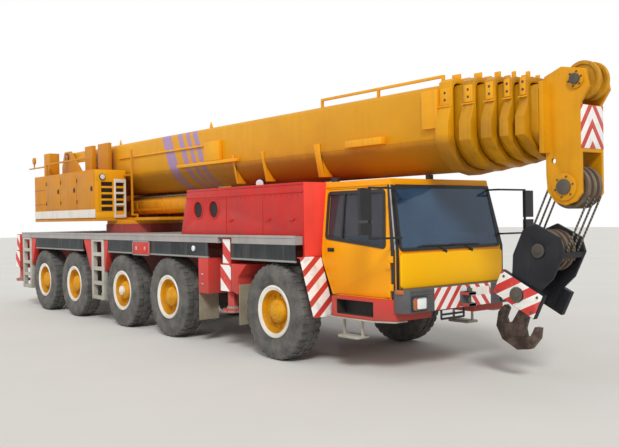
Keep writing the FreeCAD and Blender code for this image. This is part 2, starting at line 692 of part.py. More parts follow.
def mirror_arm(z):
    """An arm from the cab's sloping front, beside the windscreen, out to the mirrors' rod."""
    def share(height):
        return (height - CAB_BELT) / (CAB_ROOF - CAB_BELT)

    def front_at(height):
        return CAB_FRONT + SEAT + share(height) * (CAB_TOP_FRONT - CAB_FRONT)

    x, y = MIRROR_ROD
    in_y = -CAB_HALF_W + share(z) * (CAB_HALF_W - CAB_TOP_HALF_W) + 50.0
    top = z + MIRROR_BAR
    ahead = x + MIRROR_BAR / 2
    foot = prism([(front_at(z), z), (ahead, z), (ahead, top), (front_at(top), top)],
                 "Y", in_y - MIRROR_BAR, in_y)
    return [foot, box((ahead - MIRROR_BAR, ahead), (y - MIRROR_BAR / 2, in_y), (z, top))]


mirror_xs = (MIRROR_ROD[0] - 25.0, MIRROR_ROD[0] + 25.0)
mirror_ys = (MIRROR_OUT, MIRROR_ROD[1] + 10.0)
mirror_rod = box(
    (MIRROR_ROD[0] - MIRROR_BAR / 2, MIRROR_ROD[0] + MIRROR_BAR / 2),
    (MIRROR_ROD[1] - MIRROR_BAR / 2, MIRROR_ROD[1] + MIRROR_BAR / 2), (1690.0, 2310.0),
)
mirror = joined(mirror_arm(1690.0) + mirror_arm(2286.0) + [
    mirror_rod, box(mirror_xs, mirror_ys, (1920.0, 2290.0)), box(mirror_xs, mirror_ys, (1750.0, 1890.0)),
])
UNDER_BOOM = BOOM_BOTTOM - 12.0  # the boom swings over the roof lamp and the beacon
lamp = box((1830.0, 1890.0), (-210.0, -130.0), (CAB_ROOF + SEAT, UNDER_BOOM))
BEACON_Y = -CAB_TOP_HALF_W + 75.0
beacon = bar((800.0, BEACON_Y, CAB_ROOF + SEAT), (800.0, BEACON_Y, UNDER_BOOM), 60.0, 8)
write("cab_trim", pair(mirror) + [lamp, beacon])

# Bumper with lamp housings and the coupling jaw.
LAMP_IN = BUMPER_HALF_W - 500.0  # inner end of each lamp housing; between them the face lies further back
half_bumper = [
    (BUMPER_REAR, -BUMPER_HALF_W), (BUMPER_FRONT - 70.0, -BUMPER_HALF_W),
    (BUMPER_FRONT, -BUMPER_HALF_W + 80.0), (BUMPER_FRONT, -LAMP_IN), (BUMPER_FRONT - 20.0, -LAMP_IN + 20.0),
]
bumper = prism(
    half_bumper + [(x, -y) for x, y in reversed(half_bumper)], "Z", BUMPER_BOTTOM, BUMPER_TOP
)
jaw = box((BUMPER_FRONT - 30.0, BUMPER_FRONT + 130.0), (-70.0, 70.0), (820.0, 1000.0))
throat = box((BUMPER_FRONT + 20.0, BUMPER_FRONT + 140.0), (-75.0, 75.0), (860.0, 960.0))
pin_hole = Part.makeCylinder(HITCH_BORE_R, 300.0, vec(BUMPER_FRONT + 80.0, 0, 760.0))
write("bumper", [less(joined([bumper, jaw]), [throat, pin_hole])])

# Turntable: pedestal on the carrier, ring, table and cheeks on the superstructure.
RING_SIDES = 24
pedestal = bar((SLEW_X, 0, DECK_TOP + SEAT), (SLEW_X, 0, RING_TOP), RING_R, RING_SIDES)
write("slew_pedestal", [pedestal])
ring = bar((SLEW_X, 0, RING_TOP + SEAT), (SLEW_X, 0, TABLE_Z + 10.0), RING_R - 20.0, RING_SIDES)
table_zs = (TABLE_Z, TABLE_Z + TABLE_T)
CHEEK_OUT = CHEEK_Y + CHEEK_T
table = box((TAIL_X + 60.0, HOUSING_FRONT), (-TAIL_HALF_W + 20.0, TAIL_HALF_W - 20.0), table_zs)
table_front = box((HOUSING_FRONT - 5.0, -4700.0), (-CHEEK_OUT, CHEEK_OUT), table_zs)
table_left = box((OP_REAR, OP_FRONT), (CHEEK_Y, OP_OUT - 10.0), table_zs)
cheek_outline = [
    (TAIL_X + 60.0, TABLE_Z), (TAIL_X + 60.0, BOOM_PIVOT[1] - 200.0),
    (BOOM_PIVOT[0] - 180.0, BOOM_PIVOT[1] + 140.0),
    (BOOM_PIVOT[0] + 180.0, BOOM_PIVOT[1] + 140.0), (-8300.0, 3050.0), (-6500.0, 2600.0), (-6300.0, TABLE_Z),
]
cheek = prism(cheek_outline, "Y", -CHEEK_OUT, -CHEEK_Y)
lug = prism(
    [(LUFF_BASE[0] - 170.0, TABLE_Z), (LUFF_BASE[0] - 100.0, LUFF_BASE[1] + 110.0),
     (LUFF_BASE[0] + 100.0, LUFF_BASE[1] + 110.0), (LUFF_BASE[0] + 170.0, TABLE_Z)],
    "Y", -245.0, -195.0,
)
PIN_SIDES = 12
boom_pin = disc(*BOOM_PIVOT, BOOM_PIN_R, (-CHEEK_OUT - 20.0, CHEEK_OUT + 20.0), PIN_SIDES)
luff_pin = disc(*LUFF_BASE, LUFF_PIN_R, (-255.0, 255.0), PIN_SIDES)
floor_plates = [table, table_front, table_left]
turntable = joined([ring, boom_pin, luff_pin] + floor_plates + pair(cheek) + pair(lug))
write("turntable", [turntable])

# Machinery housing on the right, with louvre grilles in its front wall.
housing = box(
    (WEIGHT_FRONT + SEAT, HOUSING_FRONT), (-TAIL_HALF_W, -HOUSING_INNER_Y), (HOUSING_BOTTOM, HOUSING_TOP)
)
louvres = []
# outer and inner edge of each column of louvres, as shares of the housing's width
for share_out, share_in in ((0.2, 0.56), (0.64, 0.92)):
    y0, y1 = -TAIL_HALF_W + share_out * HOUSING_W, -TAIL_HALF_W + share_in * HOUSING_W
    for k in range(5):
        low = 2160.0 + k * 125.0
        louvres.append(box((HOUSING_FRONT - 40.0, HOUSING_FRONT + 10.0), (y0, y1), (low, low + 80.0)))
left_housing = box(
    (WEIGHT_FRONT + SEAT, OP_REAR - 200.0), (HOUSING_INNER_Y, TAIL_HALF_W),
    (HOUSING_BOTTOM, HOUSING_TOP - 290.0),
)

# On the right housing's roof: two plates beside the boom's foot, a post with a tail bar and its
# round marker, and a handrail. In front: a short ladder and a tall rail.
ROOF = HOUSING_TOP + SEAT
foot_plates = [
    box(xs, (-HOUSING_INNER_Y - 110.0, -HOUSING_INNER_Y - 30.0), (ROOF, BOOM_TOP + 40.0))
    for xs in ((-7830.0, -7430.0), (-7150.0, -6640.0))
]
POST_X = (-9270.0, -8930.0)
POST_Y = -TAIL_HALF_W + 285.0
MARKER_X = -10230.0
RAIL_T = 35.0  # thickness of the rails
RAIL_Z = ROOF + 245.0
MARKER_Z = RAIL_Z + 195.0
post = joined([
    box(POST_X, (POST_Y - 115.0, POST_Y + 115.0), (ROOF, ROOF + 530.0)),
    box((MARKER_X - 320.0, POST_X[0] + 5.0), (POST_Y - 15.0, POST_Y + 15.0), (RAIL_Z, RAIL_Z + 30.0)),
    box((MARKER_X - 10.0, MARKER_X + 10.0), (POST_Y - 15.0, POST_Y + 15.0), (RAIL_Z, MARKER_Z - 10.0)),
    disc(MARKER_X, MARKER_Z, 85.0, (POST_Y - 20.0, POST_Y + 20.0), 8),
])
RAIL_Y = (-TAIL_HALF_W + 60.0, -TAIL_HALF_W + 60.0 + RAIL_T)
RAIL_X = (WEIGHT_FRONT - 140.0, HOUSING_FRONT - 310.0)
handrail = joined([
    box(RAIL_X, RAIL_Y, (RAIL_Z, RAIL_Z + RAIL_T)),
    box((RAIL_X[0], RAIL_X[0] + RAIL_T), RAIL_Y, (ROOF, RAIL_Z + 5.0)),
    box((RAIL_X[1] - RAIL_T, RAIL_X[1]), RAIL_Y, (ROOF, RAIL_Z + 5.0)),
])
LADDER_X = (HOUSING_FRONT + SEAT, HOUSING_FRONT + 35.0)
FRONT_LADDER_Y = (-HOUSING_INNER_Y - 260.0, -HOUSING_INNER_Y - 10.0)
front_ladder = less(box(LADDER_X, FRONT_LADDER_Y, (HOUSING_BOTTOM, HOUSING_BOTTOM + 780.0)), [
    box((HOUSING_FRONT - 10.0, HOUSING_FRONT + 50.0), (FRONT_LADDER_Y[0] + 30.0, FRONT_LADDER_Y[1] - 30.0),
        (HOUSING_BOTTOM + low, HOUSING_BOTTOM + low + 190.0))
    for low in (60.0, 290.0, 520.0)
])
TALL_X = (HOUSING_FRONT + 335.0, HOUSING_FRONT + 370.0)
TALL_Y = (-HOUSING_INNER_Y - 50.0, -HOUSING_INNER_Y - 15.0)
TABLE_TOP = TABLE_Z + TABLE_T
tall_rail = joined([
    box((HOUSING_FRONT + SEAT, TALL_X[1]), TALL_Y, (HOUSING_TOP - 130.0, HOUSING_TOP - 95.0)),
    box(TALL_X, TALL_Y, (TABLE_TOP + 40.0, HOUSING_TOP + 390.0)),
    box(TALL_X, (TALL_Y[0], -CHEEK_OUT + 70.0), (TABLE_TOP + 40.0, TABLE_TOP + 75.0)),
    box(TALL_X, (-CHEEK_OUT + 35.0, -CHEEK_OUT + 70.0), (TABLE_TOP + SEAT, TABLE_TOP + 70.0)),
])
roof_pieces = foot_plates + [post, handrail, front_ladder, tall_rail]
write("machinery_housings", [less(housing, louvres), left_housing] + roof_pieces)

# Counterweight: side slabs with cut tail corners, joined low behind the cheeks.
weight_outline = [
    (WEIGHT_FRONT, -TAIL_HALF_W), (TAIL_X + 120.0, -TAIL_HALF_W), (TAIL_X, -TAIL_HALF_W + 120.0),
    (TAIL_X, TAIL_HALF_W - 120.0), (TAIL_X + 120.0, TAIL_HALF_W), (WEIGHT_FRONT, TAIL_HALF_W),
    (WEIGHT_FRONT, HOUSING_INNER_Y), (TAIL_X + 50.0, HOUSING_INNER_Y), (TAIL_X + 50.0, -HOUSING_INNER_Y),
    (WEIGHT_FRONT, -HOUSING_INNER_Y),
]
write("counterweight", [prism(weight_outline, "Z", HOUSING_BOTTOM, HOUSING_TOP)])

# Operator's cab on the left of the boom.
OP_BOTTOM = HOUSING_BOTTOM
op_outline = [
    (OP_REAR, OP_BOTTOM), (OP_REAR, OP_TOP), (OP_FRONT - 250.0, OP_TOP), (OP_FRONT, 2700.0),
    (OP_FRONT, OP_BOTTOM),
]
op_shell = prism(op_outline, "Y", OP_IN, OP_OUT).cut(
    prism(inset_outline(op_outline, OP_WALL), "Y", OP_IN + OP_WALL, OP_OUT - OP_WALL)
)
op_door_outline = [
    (OP_REAR + 250.0, 2080.0), (OP_REAR + 250.0, 3420.0), (-5480.0, 3420.0), (-5300.0, 2760.0),
    (-5300.0, 2080.0),
]
op_window = [(-6430.0, 2750.0), (-6430.0, 3350.0), (-5530.0, 3350.0), (-5370.0, 2760.0)]
front_window = [
    (OP_IN + 80.0, 2350.0), (OP_OUT - 80.0, 2350.0), (OP_OUT - 80.0, 3380.0), (OP_IN + 80.0, 3380.0),
]
op_cab = less(op_shell, [
    prism(op_door_outline, "Y", OP_OUT - 100.0, OP_OUT + 50.0),
    prism(op_window, "Y", OP_IN - 50.0, OP_IN + 100.0),
    prism(front_window, "X", OP_FRONT - 280.0, OP_FRONT + 50.0),
])
OP_HINGE = (op_door_outline[0][0] + DOOR_GAP / 2, OP_OUT + 15.0)
OP_HINGE_ZS = (2300.0, 3200.0)
cab_hinges = [hinge_half(*OP_HINGE, z, OP_HINGE[0] - 60.0, OP_OUT - 5.0) for z in OP_HINGE_ZS]
op_cab = joined([op_cab] + cab_hinges)
write("operator_cab", [op_cab])
op_pane = prism(op_window, "Y", OP_OUT - 100.0, OP_OUT + 50.0)
op_door = prism(inset_outline(op_door_outline, DOOR_GAP), "Y", OP_OUT - OP_WALL, OP_OUT)
door_hinges = [
    hinge_half(*OP_HINGE, z - HINGE_H - SEAT, OP_HINGE[0] + 60.0, OP_OUT - 5.0) for z in OP_HINGE_ZS
]
op_door = joined([less(op_door, [op_pane])] + door_hinges)
write("operator_door", [op_door])
SEAT_X = OP_REAR + 400.0  # rear edge of the operator's cushion
SEAT_Y = (OP_IN + OP_OUT) / 2
SEAT_Z = OP_BOTTOM + 460.0
op_seat = joined([
    box((SEAT_X, SEAT_X + 500.0), (SEAT_Y - 235.0, SEAT_Y + 235.0), (SEAT_Z, SEAT_Z + 120.0)),
    box((SEAT_X - 100.0, SEAT_X + 20.0), (SEAT_Y - 215.0, SEAT_Y + 215.0), (SEAT_Z + 40.0, SEAT_Z + 670.0)),
    box(
        (SEAT_X + 100.0, SEAT_X + 400.0), (SEAT_Y - 125.0, SEAT_Y + 125.0),
        (OP_BOTTOM + OP_WALL + SEAT, SEAT_Z + 10.0),
    ),
])
write("operator_seat", [op_seat])


# Boom sections: flat top and sides, bent corners, and a belly bent from narrow flats.
BELLY_FLATS = 10


def section_outline(step_in):
    """(y, z) corners of a boom section, stepped in from the base section's outline."""
    w = BOOM_HALF_W - step_in
    top, bottom = BOOM_TOP - step_in, BOOM_BOTTOM + step_in
    depth = BOOM_KINK - bottom
    radius = (w * w + depth * depth) / (2 * depth)
    centre = bottom + radius
    reach = math.asin(w / radius)
    belly = []
    for k in range(1, BELLY_FLATS):
        a = reach * (2.0 * k / BELLY_FLATS - 1)
        belly.append((radius * math.sin(a), centre - radius * math.cos(a)))
    c = BOOM_CORNER
    s = c * (1 - math.sqrt(0.5))
    right = [(w, BOOM_KINK), (w, top - c), (w - s, top - s), (w - c, top)]
    return belly + right + [(-y, z) for y, z in reversed(right)]


def section_bar(step_in, start, end):
    return prism(section_outline(step_in), "X", start, end)


def section_tube(index, start, end):
    step_in = index * SECTION_STEP
    outer = section_bar(step_in, start, end)
    return outer.cut(section_bar(step_in + SECTION_WALL, start - 1.0, end + 1.0))


def collar(index):
    """The stiff frame round a section's mouth, with pad plates high on its sides."""
    rear, length = COLLARS[index]
    d = index * SECTION_STEP
    top, bottom = BOOM_TOP - d, BOOM_BOTTOM + d
    w = BOOM_HALF_W - d
    half = [
        (0.0, top + 50.0), (w - 40.0, top + 50.0), (w + 20.0, top + 10.0), (w + 20.0, top - 240.0),
        (w + 100.0, BOOM_KINK + 150.0), (w + 100.0, BOOM_KINK - 60.0), (w + 20.0, bottom + 180.0),
        (w - 190.0, bottom + 10.0), (0.0, bottom - 45.0),
    ]
    outline = half + [(-y, z) for y, z in reversed(half[1:-1])]
    ring = prism(outline, "X", rear, rear + length)
    return ring.cut(section_bar(d + 2.0, rear - 1.0, rear + length + 1.0))


def mouth_pad(index):
    """The slide pad under the next section, inside this section's mouth."""
    front = sum(COLLARS[index])
    d = index * SECTION_STEP
    outer = section_bar(d + SECTION_WALL - 2.0, front - 160.0, front - 10.0)
    inner = section_bar(d + SECTION_STEP - SEAT, front - 170.0, front)
    low = box((front - 170.0, front), (-180.0, 180.0), (2400.0, BOOM_KINK - 100.0))
    return outer.cut(inner).common(low)


def tail_pads(index, rear):
    """The two slide pads on top of a section's rear end."""
    top = BOOM_TOP - index * SECTION_STEP
    roof = top + SECTION_STEP - SECTION_WALL - SEAT
    side = BOOM_HALF_W - index * SECTION_STEP - BOOM_CORNER - 10.0
    return pair(box((rear, rear + 150.0), (100.0, side), (top - 5.0, roof)))


# Base section: the tube with its mouth and foot arms is one welding.
foot = prism(
    [(SECTION_REAR + 30.0, BOOM_TOP), (SECTION_REAR + 30.0, BOOM_KINK + 60.0),
     (SECTION_REAR - 350.0, BOOM_KINK + 410.0), (BOOM_PIVOT[0], BOOM_PIVOT[1] - 130.0),
     (BOOM_PIVOT[0] - 130.0, BOOM_PIVOT[1]), (BOOM_PIVOT[0] - 90.0, BOOM_PIVOT[1] + 100.0)],
    "Y", -BOOM_HALF_W, -BOOM_HALF_W + 45.0,
)
foot_bore = bearing(
    (BOOM_PIVOT[0], -1000.0, BOOM_PIVOT[1]), (BOOM_PIVOT[0], 1000.0, BOOM_PIVOT[1]), BOOM_PIN_R, PIN_SIDES
)
base_front = sum(COLLARS[0])
base = joined([section_tube(0, SECTION_REAR, base_front), collar(0), mouth_pad(0)] + pair(foot))
base = less(base, [foot_bore])
write("boom_base", [base])

# On its outside, each seated on the plates: luffing lugs under the belly, side brackets, fins,
# a rail and tray on the right, pads before the mouth, and a rail on top.
clear_of_tube = section_bar(-SEAT, SECTION_REAR, base_front)
eye_lug = prism(
    [(LUFF_EYE[0] - 260.0, BOOM_BOTTOM + 100.0), (LUFF_EYE[0] - 110.0, LUFF_EYE[1] - 100.0),
     (LUFF_EYE[0] + 110.0, LUFF_EYE[1] - 100.0), (LUFF_EYE[0] + 200.0, BOOM_BOTTOM + 100.0)],
    "Y", -190.0, -150.0,
)
eye_lug = eye_lug.fuse(disc(*LUFF_EYE, 70.0, (-215.0, -180.0), 12)).cut(clear_of_tube)
# rear face and width of each bracket along X
BRACKETS = ((-2230.0, 60.0), (-1392.0, 60.0), (-66.0, 130.0))
BRACKET_OUT = -BOOM_HALF_W - 30.0
bracket_outline = [
    (BRACKET_OUT, BOOM_KINK + 120.0), (BRACKET_OUT + 130.0, BOOM_KINK + 120.0),
    (-200.0, BOOM_BOTTOM + 200.0), (-280.0, BOOM_BOTTOM + 45.0), (-430.0, BOOM_BOTTOM + 45.0),
]
outside = pair(eye_lug)
for x, width in BRACKETS:
    outside += pair(prism(bracket_outline, "X", x, x + width).cut(clear_of_tube))
wall_y = -BOOM_HALF_W - SEAT
for x in (-6625.0, -3024.0):
    outline = [(x - 40.0, BOOM_TOP + SEAT), (x, BOOM_TOP + 110.0), (x + 60.0, BOOM_TOP + SEAT)]
    outside.append(prism(outline, "Y", -428.0, -408.0))
# place along X, distance out from the side wall, height: pieces flat on the right wall
SIDE_PIECES = (
    ((-6500.0, -3100.0), 30.0, (3235.0, 3265.0)),
    ((-3040.0, -2560.0), 70.0, (2965.0, 3300.0)),
    ((-4000.0, -2020.0), 70.0, (2905.0, 2960.0)),
    ((700.0, 1410.0), 90.0, (2905.0, 3000.0)),
    ((2100.0, 2355.0), 60.0, (3020.0, 3490.0)),
)
for xs, reach, zs in SIDE_PIECES:
    outside.append(box(xs, (wall_y - reach, wall_y), zs))
TOP_RAIL_Y = (-BOOM_HALF_W + BOOM_CORNER + 2.0, -BOOM_HALF_W + BOOM_CORNER + 37.0)
TOP_RAIL_X = (0.0, 2350.0)
TOP_RAIL_Z = BOOM_TOP + 90.0
posts = [
    box((x, x + 35.0), TOP_RAIL_Y, (BOOM_TOP + SEAT, TOP_RAIL_Z + 5.0))
    for x in (TOP_RAIL_X[0], sum(TOP_RAIL_X) / 2, TOP_RAIL_X[1] - 35.0)
]
outside.append(joined(posts + [box(TOP_RAIL_X, TOP_RAIL_Y, (TOP_RAIL_Z, TOP_RAIL_Z + 35.0))]))
write("boom_fittings", outside)

# Telescopic sections, each inside the one before, with its own collar.
LAST = len(COLLARS)


def section_rear(index):
    return SECTION_REAR + 120.0 + index * 60.0


for index in range(1, LAST):
    rear = section_rear(index)
    tube = section_tube(index, rear, sum(COLLARS[index]))
    solid = joined([tube, collar(index), mouth_pad(index)] + tail_pads(index, rear))
    write("boom_section_%d" % index, [solid])

# Boom head on the innermost section, with its sheaves.
SHEAVE_SHAFT_R = 45.0
SHAFT_SIDES = 8


def head_plate(y0, y1):
    top, bottom = BOOM_TOP, BOOM_BOTTOM
    x, z, _ = LOWER_SHEAVE
    outline = [
        (HEAD_REAR + 5.0, top - 73.0), (3850.0, top + 7.0), (4140.0, top - 53.0), (4180.0, top - 253.0),
        (HEAD_FRONT, top - 403.0), (HEAD_FRONT, z - 70.0), (x + 130.0, z - 160.0), (x, z - 200.0),
        (x - 130.0, z - 160.0), (x - 220.0, z - 40.0), (HEAD_REAR + 5.0, bottom - 100.0),
    ]
    return prism(outline, "Y", y0, y1)


head_block = box(
    (HEAD_REAR + 5.0, HEAD_REAR + 60.0), (-HEAD_HALF_W - 120.0, HEAD_HALF_W + 120.0),
    (BOOM_BOTTOM + 130.0, BOOM_TOP - 133.0),
)
head_front = box(
    (HEAD_FRONT - 80.0, HEAD_FRONT), (-HEAD_HALF_W, HEAD_HALF_W), (BOOM_BOTTOM + 120.0, BOOM_TOP - 423.0)
)
inner_tube = joined(
    [section_tube(LAST, section_rear(LAST), HEAD_REAR + 5.0 - SEAT)] + tail_pads(LAST, section_rear(LAST))
)
head = joined([
    head_block, head_front, head_plate(-HEAD_HALF_W, -HEAD_HALF_W + 40.0),
    head_plate(HEAD_HALF_W - 40.0, HEAD_HALF_W),
])
shaft_holes = [
    disc(x, z, SHEAVE_SHAFT_R, (-500.0, 500.0), SHAFT_SIDES) for x, z, radius in (UPPER_SHEAVE, LOWER_SHEAVE)
]
jib_bore = disc(*JIB_BORE, (-500.0, 500.0))
head = less(head, shaft_holes + [jib_bore])
write("boom_head", [inner_tube, head])

SHEAVE_W = 50.0
FALL_YS = (-110.0, 0.0, 110.0)
SHEAVE_SIDES = 16


def sheave_set(place, radius, ys, half, turn=0.0):
    """Sheaves on their shaft, across the crane, turned in degrees about it."""
    x, z = place
    discs = [disc(x, z, radius, (y - SHEAVE_W / 2, y + SHEAVE_W / 2), SHEAVE_SIDES) for y in ys]
    for one in discs:
        one.rotate(vec(x, 0, z), vec(0, 1, 0), turn)
    return joined([disc(x, z, SHEAVE_SHAFT_R - SEAT, (-half, half), SHAFT_SIDES)] + discs)


write("head_sheaves", [
    sheave_set(UPPER_SHEAVE[:2], UPPER_SHEAVE[2], (-80.0, 80.0), HEAD_HALF_W),
    # turned so that the ropes leave the sheaves at a corner of their outlines
    sheave_set(LOWER_SHEAVE[:2], LOWER_SHEAVE[2], FALL_YS, HEAD_HALF_W, BLOCK_TILT + 180.0 / SHEAVE_SIDES),
])


# Hook block, hanging on its ropes and drawn back toward the bumper.
def tilted(shape):
    """From a frame that hangs straight down below the lower sheaves to its place."""
    turned = shape.copy()
    turned.rotate(vec(0, 0, 0), vec(0, 1, 0), BLOCK_TILT)
    turned.translate(vec(LOWER_SHEAVE[0], 0, LOWER_SHEAVE[1]))
    return turned


ROPE_R = 12.0
BLOCK_SHEAVE_R = LOWER_SHEAVE[2] / math.cos(math.pi / SHEAVE_SIDES)
BLOCK_HALF_W = 230.0


def block_cheek(y0, y1):
    top, shoulder, hip = -BLOCK_SHEAVE_DROP + 250.0, -BLOCK_SHEAVE_DROP + 120.0, -BLOCK_SHEAVE_DROP - 200.0
    neck, foot = -BLOCK_PIN_DROP + 140.0, -BLOCK_PIN_DROP - 120.0
    half = [(170.0, top), (290.0, shoulder), (290.0, hip), (200.0, neck), (200.0, foot)]
    return prism(half + [(-x, z) for x, z in reversed(half)], "Y", y0, y1)


cheeks = [block_cheek(-BLOCK_HALF_W, -BLOCK_HALF_W + 40.0), block_cheek(BLOCK_HALF_W - 40.0, BLOCK_HALF_W)]
ballast = [
    box((-310.0, 310.0), (y0, y0 + 70.0), (-BLOCK_PIN_DROP - 140.0, -BLOCK_PIN_DROP + 160.0))
    for y0 in (-BLOCK_HALF_W - 70.0, BLOCK_HALF_W)
]
block_pin = disc(0.0, -BLOCK_PIN_DROP, 90.0, (-BLOCK_HALF_W - 90.0, BLOCK_HALF_W + 90.0), 12)
block_ys = (-BLOCK_HALF_W, BLOCK_HALF_W)
spacer_zs = (-BLOCK_SHEAVE_DROP + 50.0, -BLOCK_SHEAVE_DROP + 115.0)
spacers = [box(xs, block_ys, spacer_zs) for xs in ((-288.0, -270.0), (270.0, 288.0))]
spacers.append(box((-60.0, 60.0), block_ys, (-BLOCK_PIN_DROP + 210.0, -BLOCK_PIN_DROP + 280.0)))
SHANK_R = 55.0
block_frame = less(joined(cheeks + ballast + [block_pin] + spacers), [
    bearing((0, 0, -BLOCK_PIN_DROP - 130.0), (0, 0, -BLOCK_PIN_DROP + 130.0), SHANK_R, 12),
    disc(0.0, -BLOCK_SHEAVE_DROP, SHEAVE_SHAFT_R, (-400.0, 400.0), SHAFT_SIDES),
])
write("hook_block", [tilted(block_frame)])
block_set = sheave_set((0.0, -BLOCK_SHEAVE_DROP), BLOCK_SHEAVE_R, FALL_YS, BLOCK_HALF_W)

rope_x = LOWER_SHEAVE[2] + SEAT + ROPE_R * math.cos(math.pi / 6)
ropes = []
for y in FALL_YS:
    for x in (-rope_x, rope_x):
        corners = []
        for k in range(6):
            angle = math.pi / 3 * (k + 0.5)
            corners.append((x + ROPE_R * math.cos(angle), y + ROPE_R * math.sin(angle)))
        ropes.append(tilted(prism(corners, "Z", -BLOCK_SHEAVE_DROP, 0.0)))
write("block_reeving", [tilted(block_set)] + ropes)

# Double hook: shank in the cross-head, two round arms ending in points.
shank = bar((0, 0, -BLOCK_PIN_DROP - 250.0), (0, 0, -BLOCK_PIN_DROP + 90.0 + SEAT + 5.0), SHANK_R, 12)
nut = bar((0, 0, -BLOCK_PIN_DROP + 90.0 + SEAT), (0, 0, -BLOCK_PIN_DROP + 150.0), 85.0, 6)
# (out from the shank's axis, below the cross-head's axis)
half_hook = [
    (60.0, 240.0), (85.0, 430.0), (150.0, 510.0), (210.0, 450.0), (215.0, 330.0),
    (270.0, 310.0), (310.0, 430.0), (265.0, 600.0), (120.0, 700.0),
]
hook_outline = [(a, -BLOCK_PIN_DROP - drop) for a, drop in half_hook]
hook_outline += [(-a, z) for a, z in reversed(hook_outline)]
hook = joined([shank, nut, prism(hook_outline, "Y", -45.0, 45.0)])
write("hook", [tilted(hook)])

# Luffing cylinder, shown closed.
along = (LUFF_EYE[0] - LUFF_BASE[0], LUFF_EYE[1] - LUFF_BASE[1])
length = math.hypot(*along)
ROD_SIDES = 16
unit = (along[0] / length, along[1] / length)


def on_luff(distance):
    return (LUFF_BASE[0] + unit[0] * distance, 0.0, LUFF_BASE[1] + unit[1] * distance)


barrel = joined([
    bar(on_luff(150.0), on_luff(length - 330.0), LUFF_BARREL_R, ROD_SIDES),
    box(
        (LUFF_BASE[0] - 110.0, LUFF_BASE[0] + 250.0), (-165.0, 165.0),
        (LUFF_BASE[1] - 110.0, LUFF_BASE[1] + 110.0),
    ),
])
barrel = less(barrel, [
    bearing(
        (LUFF_BASE[0], -300.0, LUFF_BASE[1]), (LUFF_BASE[0], 300.0, LUFF_BASE[1]), LUFF_PIN_R, PIN_SIDES
    ),
    bearing(on_luff(300.0), on_luff(length - 320.0), LUFF_ROD_R, ROD_SIDES),
])
write("luffing_barrel", [barrel])
rod = joined([
    bar(on_luff(320.0), on_luff(length - 80.0), LUFF_ROD_R, ROD_SIDES),
    disc(*LUFF_EYE, 115.0, (-120.0, 120.0), PIN_SIDES),
]).cut(disc(*LUFF_EYE, LUFF_PIN_R, (-300.0, 300.0), PIN_SIDES))
write("luffing_rod", [rod])
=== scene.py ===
import bpy
import bmesh
import math
from mathutils import Matrix, Vector


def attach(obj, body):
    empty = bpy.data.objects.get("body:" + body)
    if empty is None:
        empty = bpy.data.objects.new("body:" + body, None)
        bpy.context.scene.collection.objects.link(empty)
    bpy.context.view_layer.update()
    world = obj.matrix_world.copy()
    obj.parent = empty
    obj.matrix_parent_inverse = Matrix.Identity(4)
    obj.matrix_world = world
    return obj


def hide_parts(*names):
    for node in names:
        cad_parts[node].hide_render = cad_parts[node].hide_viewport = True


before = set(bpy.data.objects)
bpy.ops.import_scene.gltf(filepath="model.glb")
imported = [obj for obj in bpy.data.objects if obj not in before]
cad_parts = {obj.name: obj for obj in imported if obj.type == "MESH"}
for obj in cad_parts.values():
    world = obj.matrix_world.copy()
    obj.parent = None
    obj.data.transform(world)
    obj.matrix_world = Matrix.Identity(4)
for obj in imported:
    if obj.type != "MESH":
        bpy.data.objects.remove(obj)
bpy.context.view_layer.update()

# Stage: a pale floor under soft daylight, and the camera at the right front corner of the crane.
# The crane stands along X, nose to +X, with its right side to -Y and the ground at Z 0.
FRONT_AXLE = 3.2945


def linear(code, alpha=1.0):
    """An sRGB hex colour as the linear values that a shader takes."""
    parts = [int(code[i:i + 2], 16) / 255.0 for i in (1, 3, 5)]
    return [c / 12.92 if c <= 0.04045 else ((c + 0.055) / 1.055) ** 2.4 for c in parts] + [alpha]


def add(tree, kind, inputs=None, **settings):
    """A shader node with its settings, its values and its links."""
    made = tree.nodes.new(kind)
    for key, value in settings.items():
        setattr(made, key, value)
    for socket, value in (inputs or {}).items():
        if isinstance(value, bpy.types.NodeSocket):
            tree.links.new(value, made.inputs[socket])
        else:
            made.inputs[socket].default_value = value
    return made


def material(name):
    """An empty node material and its shader."""
    made = bpy.data.materials.new(name)
    made.use_nodes = True
    return made, made.node_tree, made.node_tree.nodes["Principled BSDF"]


CAMERA_PLACE = (FRONT_AXLE + 8.843, -7.759, 1.966)
CAMERA_YAW, CAMERA_PITCH, CAMERA_ROLL = 141.29, -0.45, -0.94
FOCAL_PX, FRAME_W = 790.9, 619
lens = bpy.data.cameras.new("camera")
lens.sensor_width = 36.0
lens.lens = FOCAL_PX / FRAME_W * lens.sensor_width
lens.clip_end = 400.0
camera = bpy.data.objects.new("camera", lens)
bpy.context.scene.collection.objects.link(camera)
yaw, pitch, roll = (math.radians(v) for v in (CAMERA_YAW, CAMERA_PITCH, CAMERA_ROLL))
forward = Vector((math.cos(yaw) * math.cos(pitch), math.sin(yaw) * math.cos(pitch), math.sin(pitch)))
level = forward.cross(Vector((0, 0, 1))).normalized()
upright = level.cross(forward)
right = level * math.cos(roll) + upright * math.sin(roll)
top = upright * math.cos(roll) - level * math.sin(roll)
camera.matrix_world = Matrix((right, top, -forward)).transposed().to_4x4()
camera.location = CAMERA_PLACE
bpy.context.scene.camera = camera
bpy.context.scene.view_settings.view_transform = "Standard"

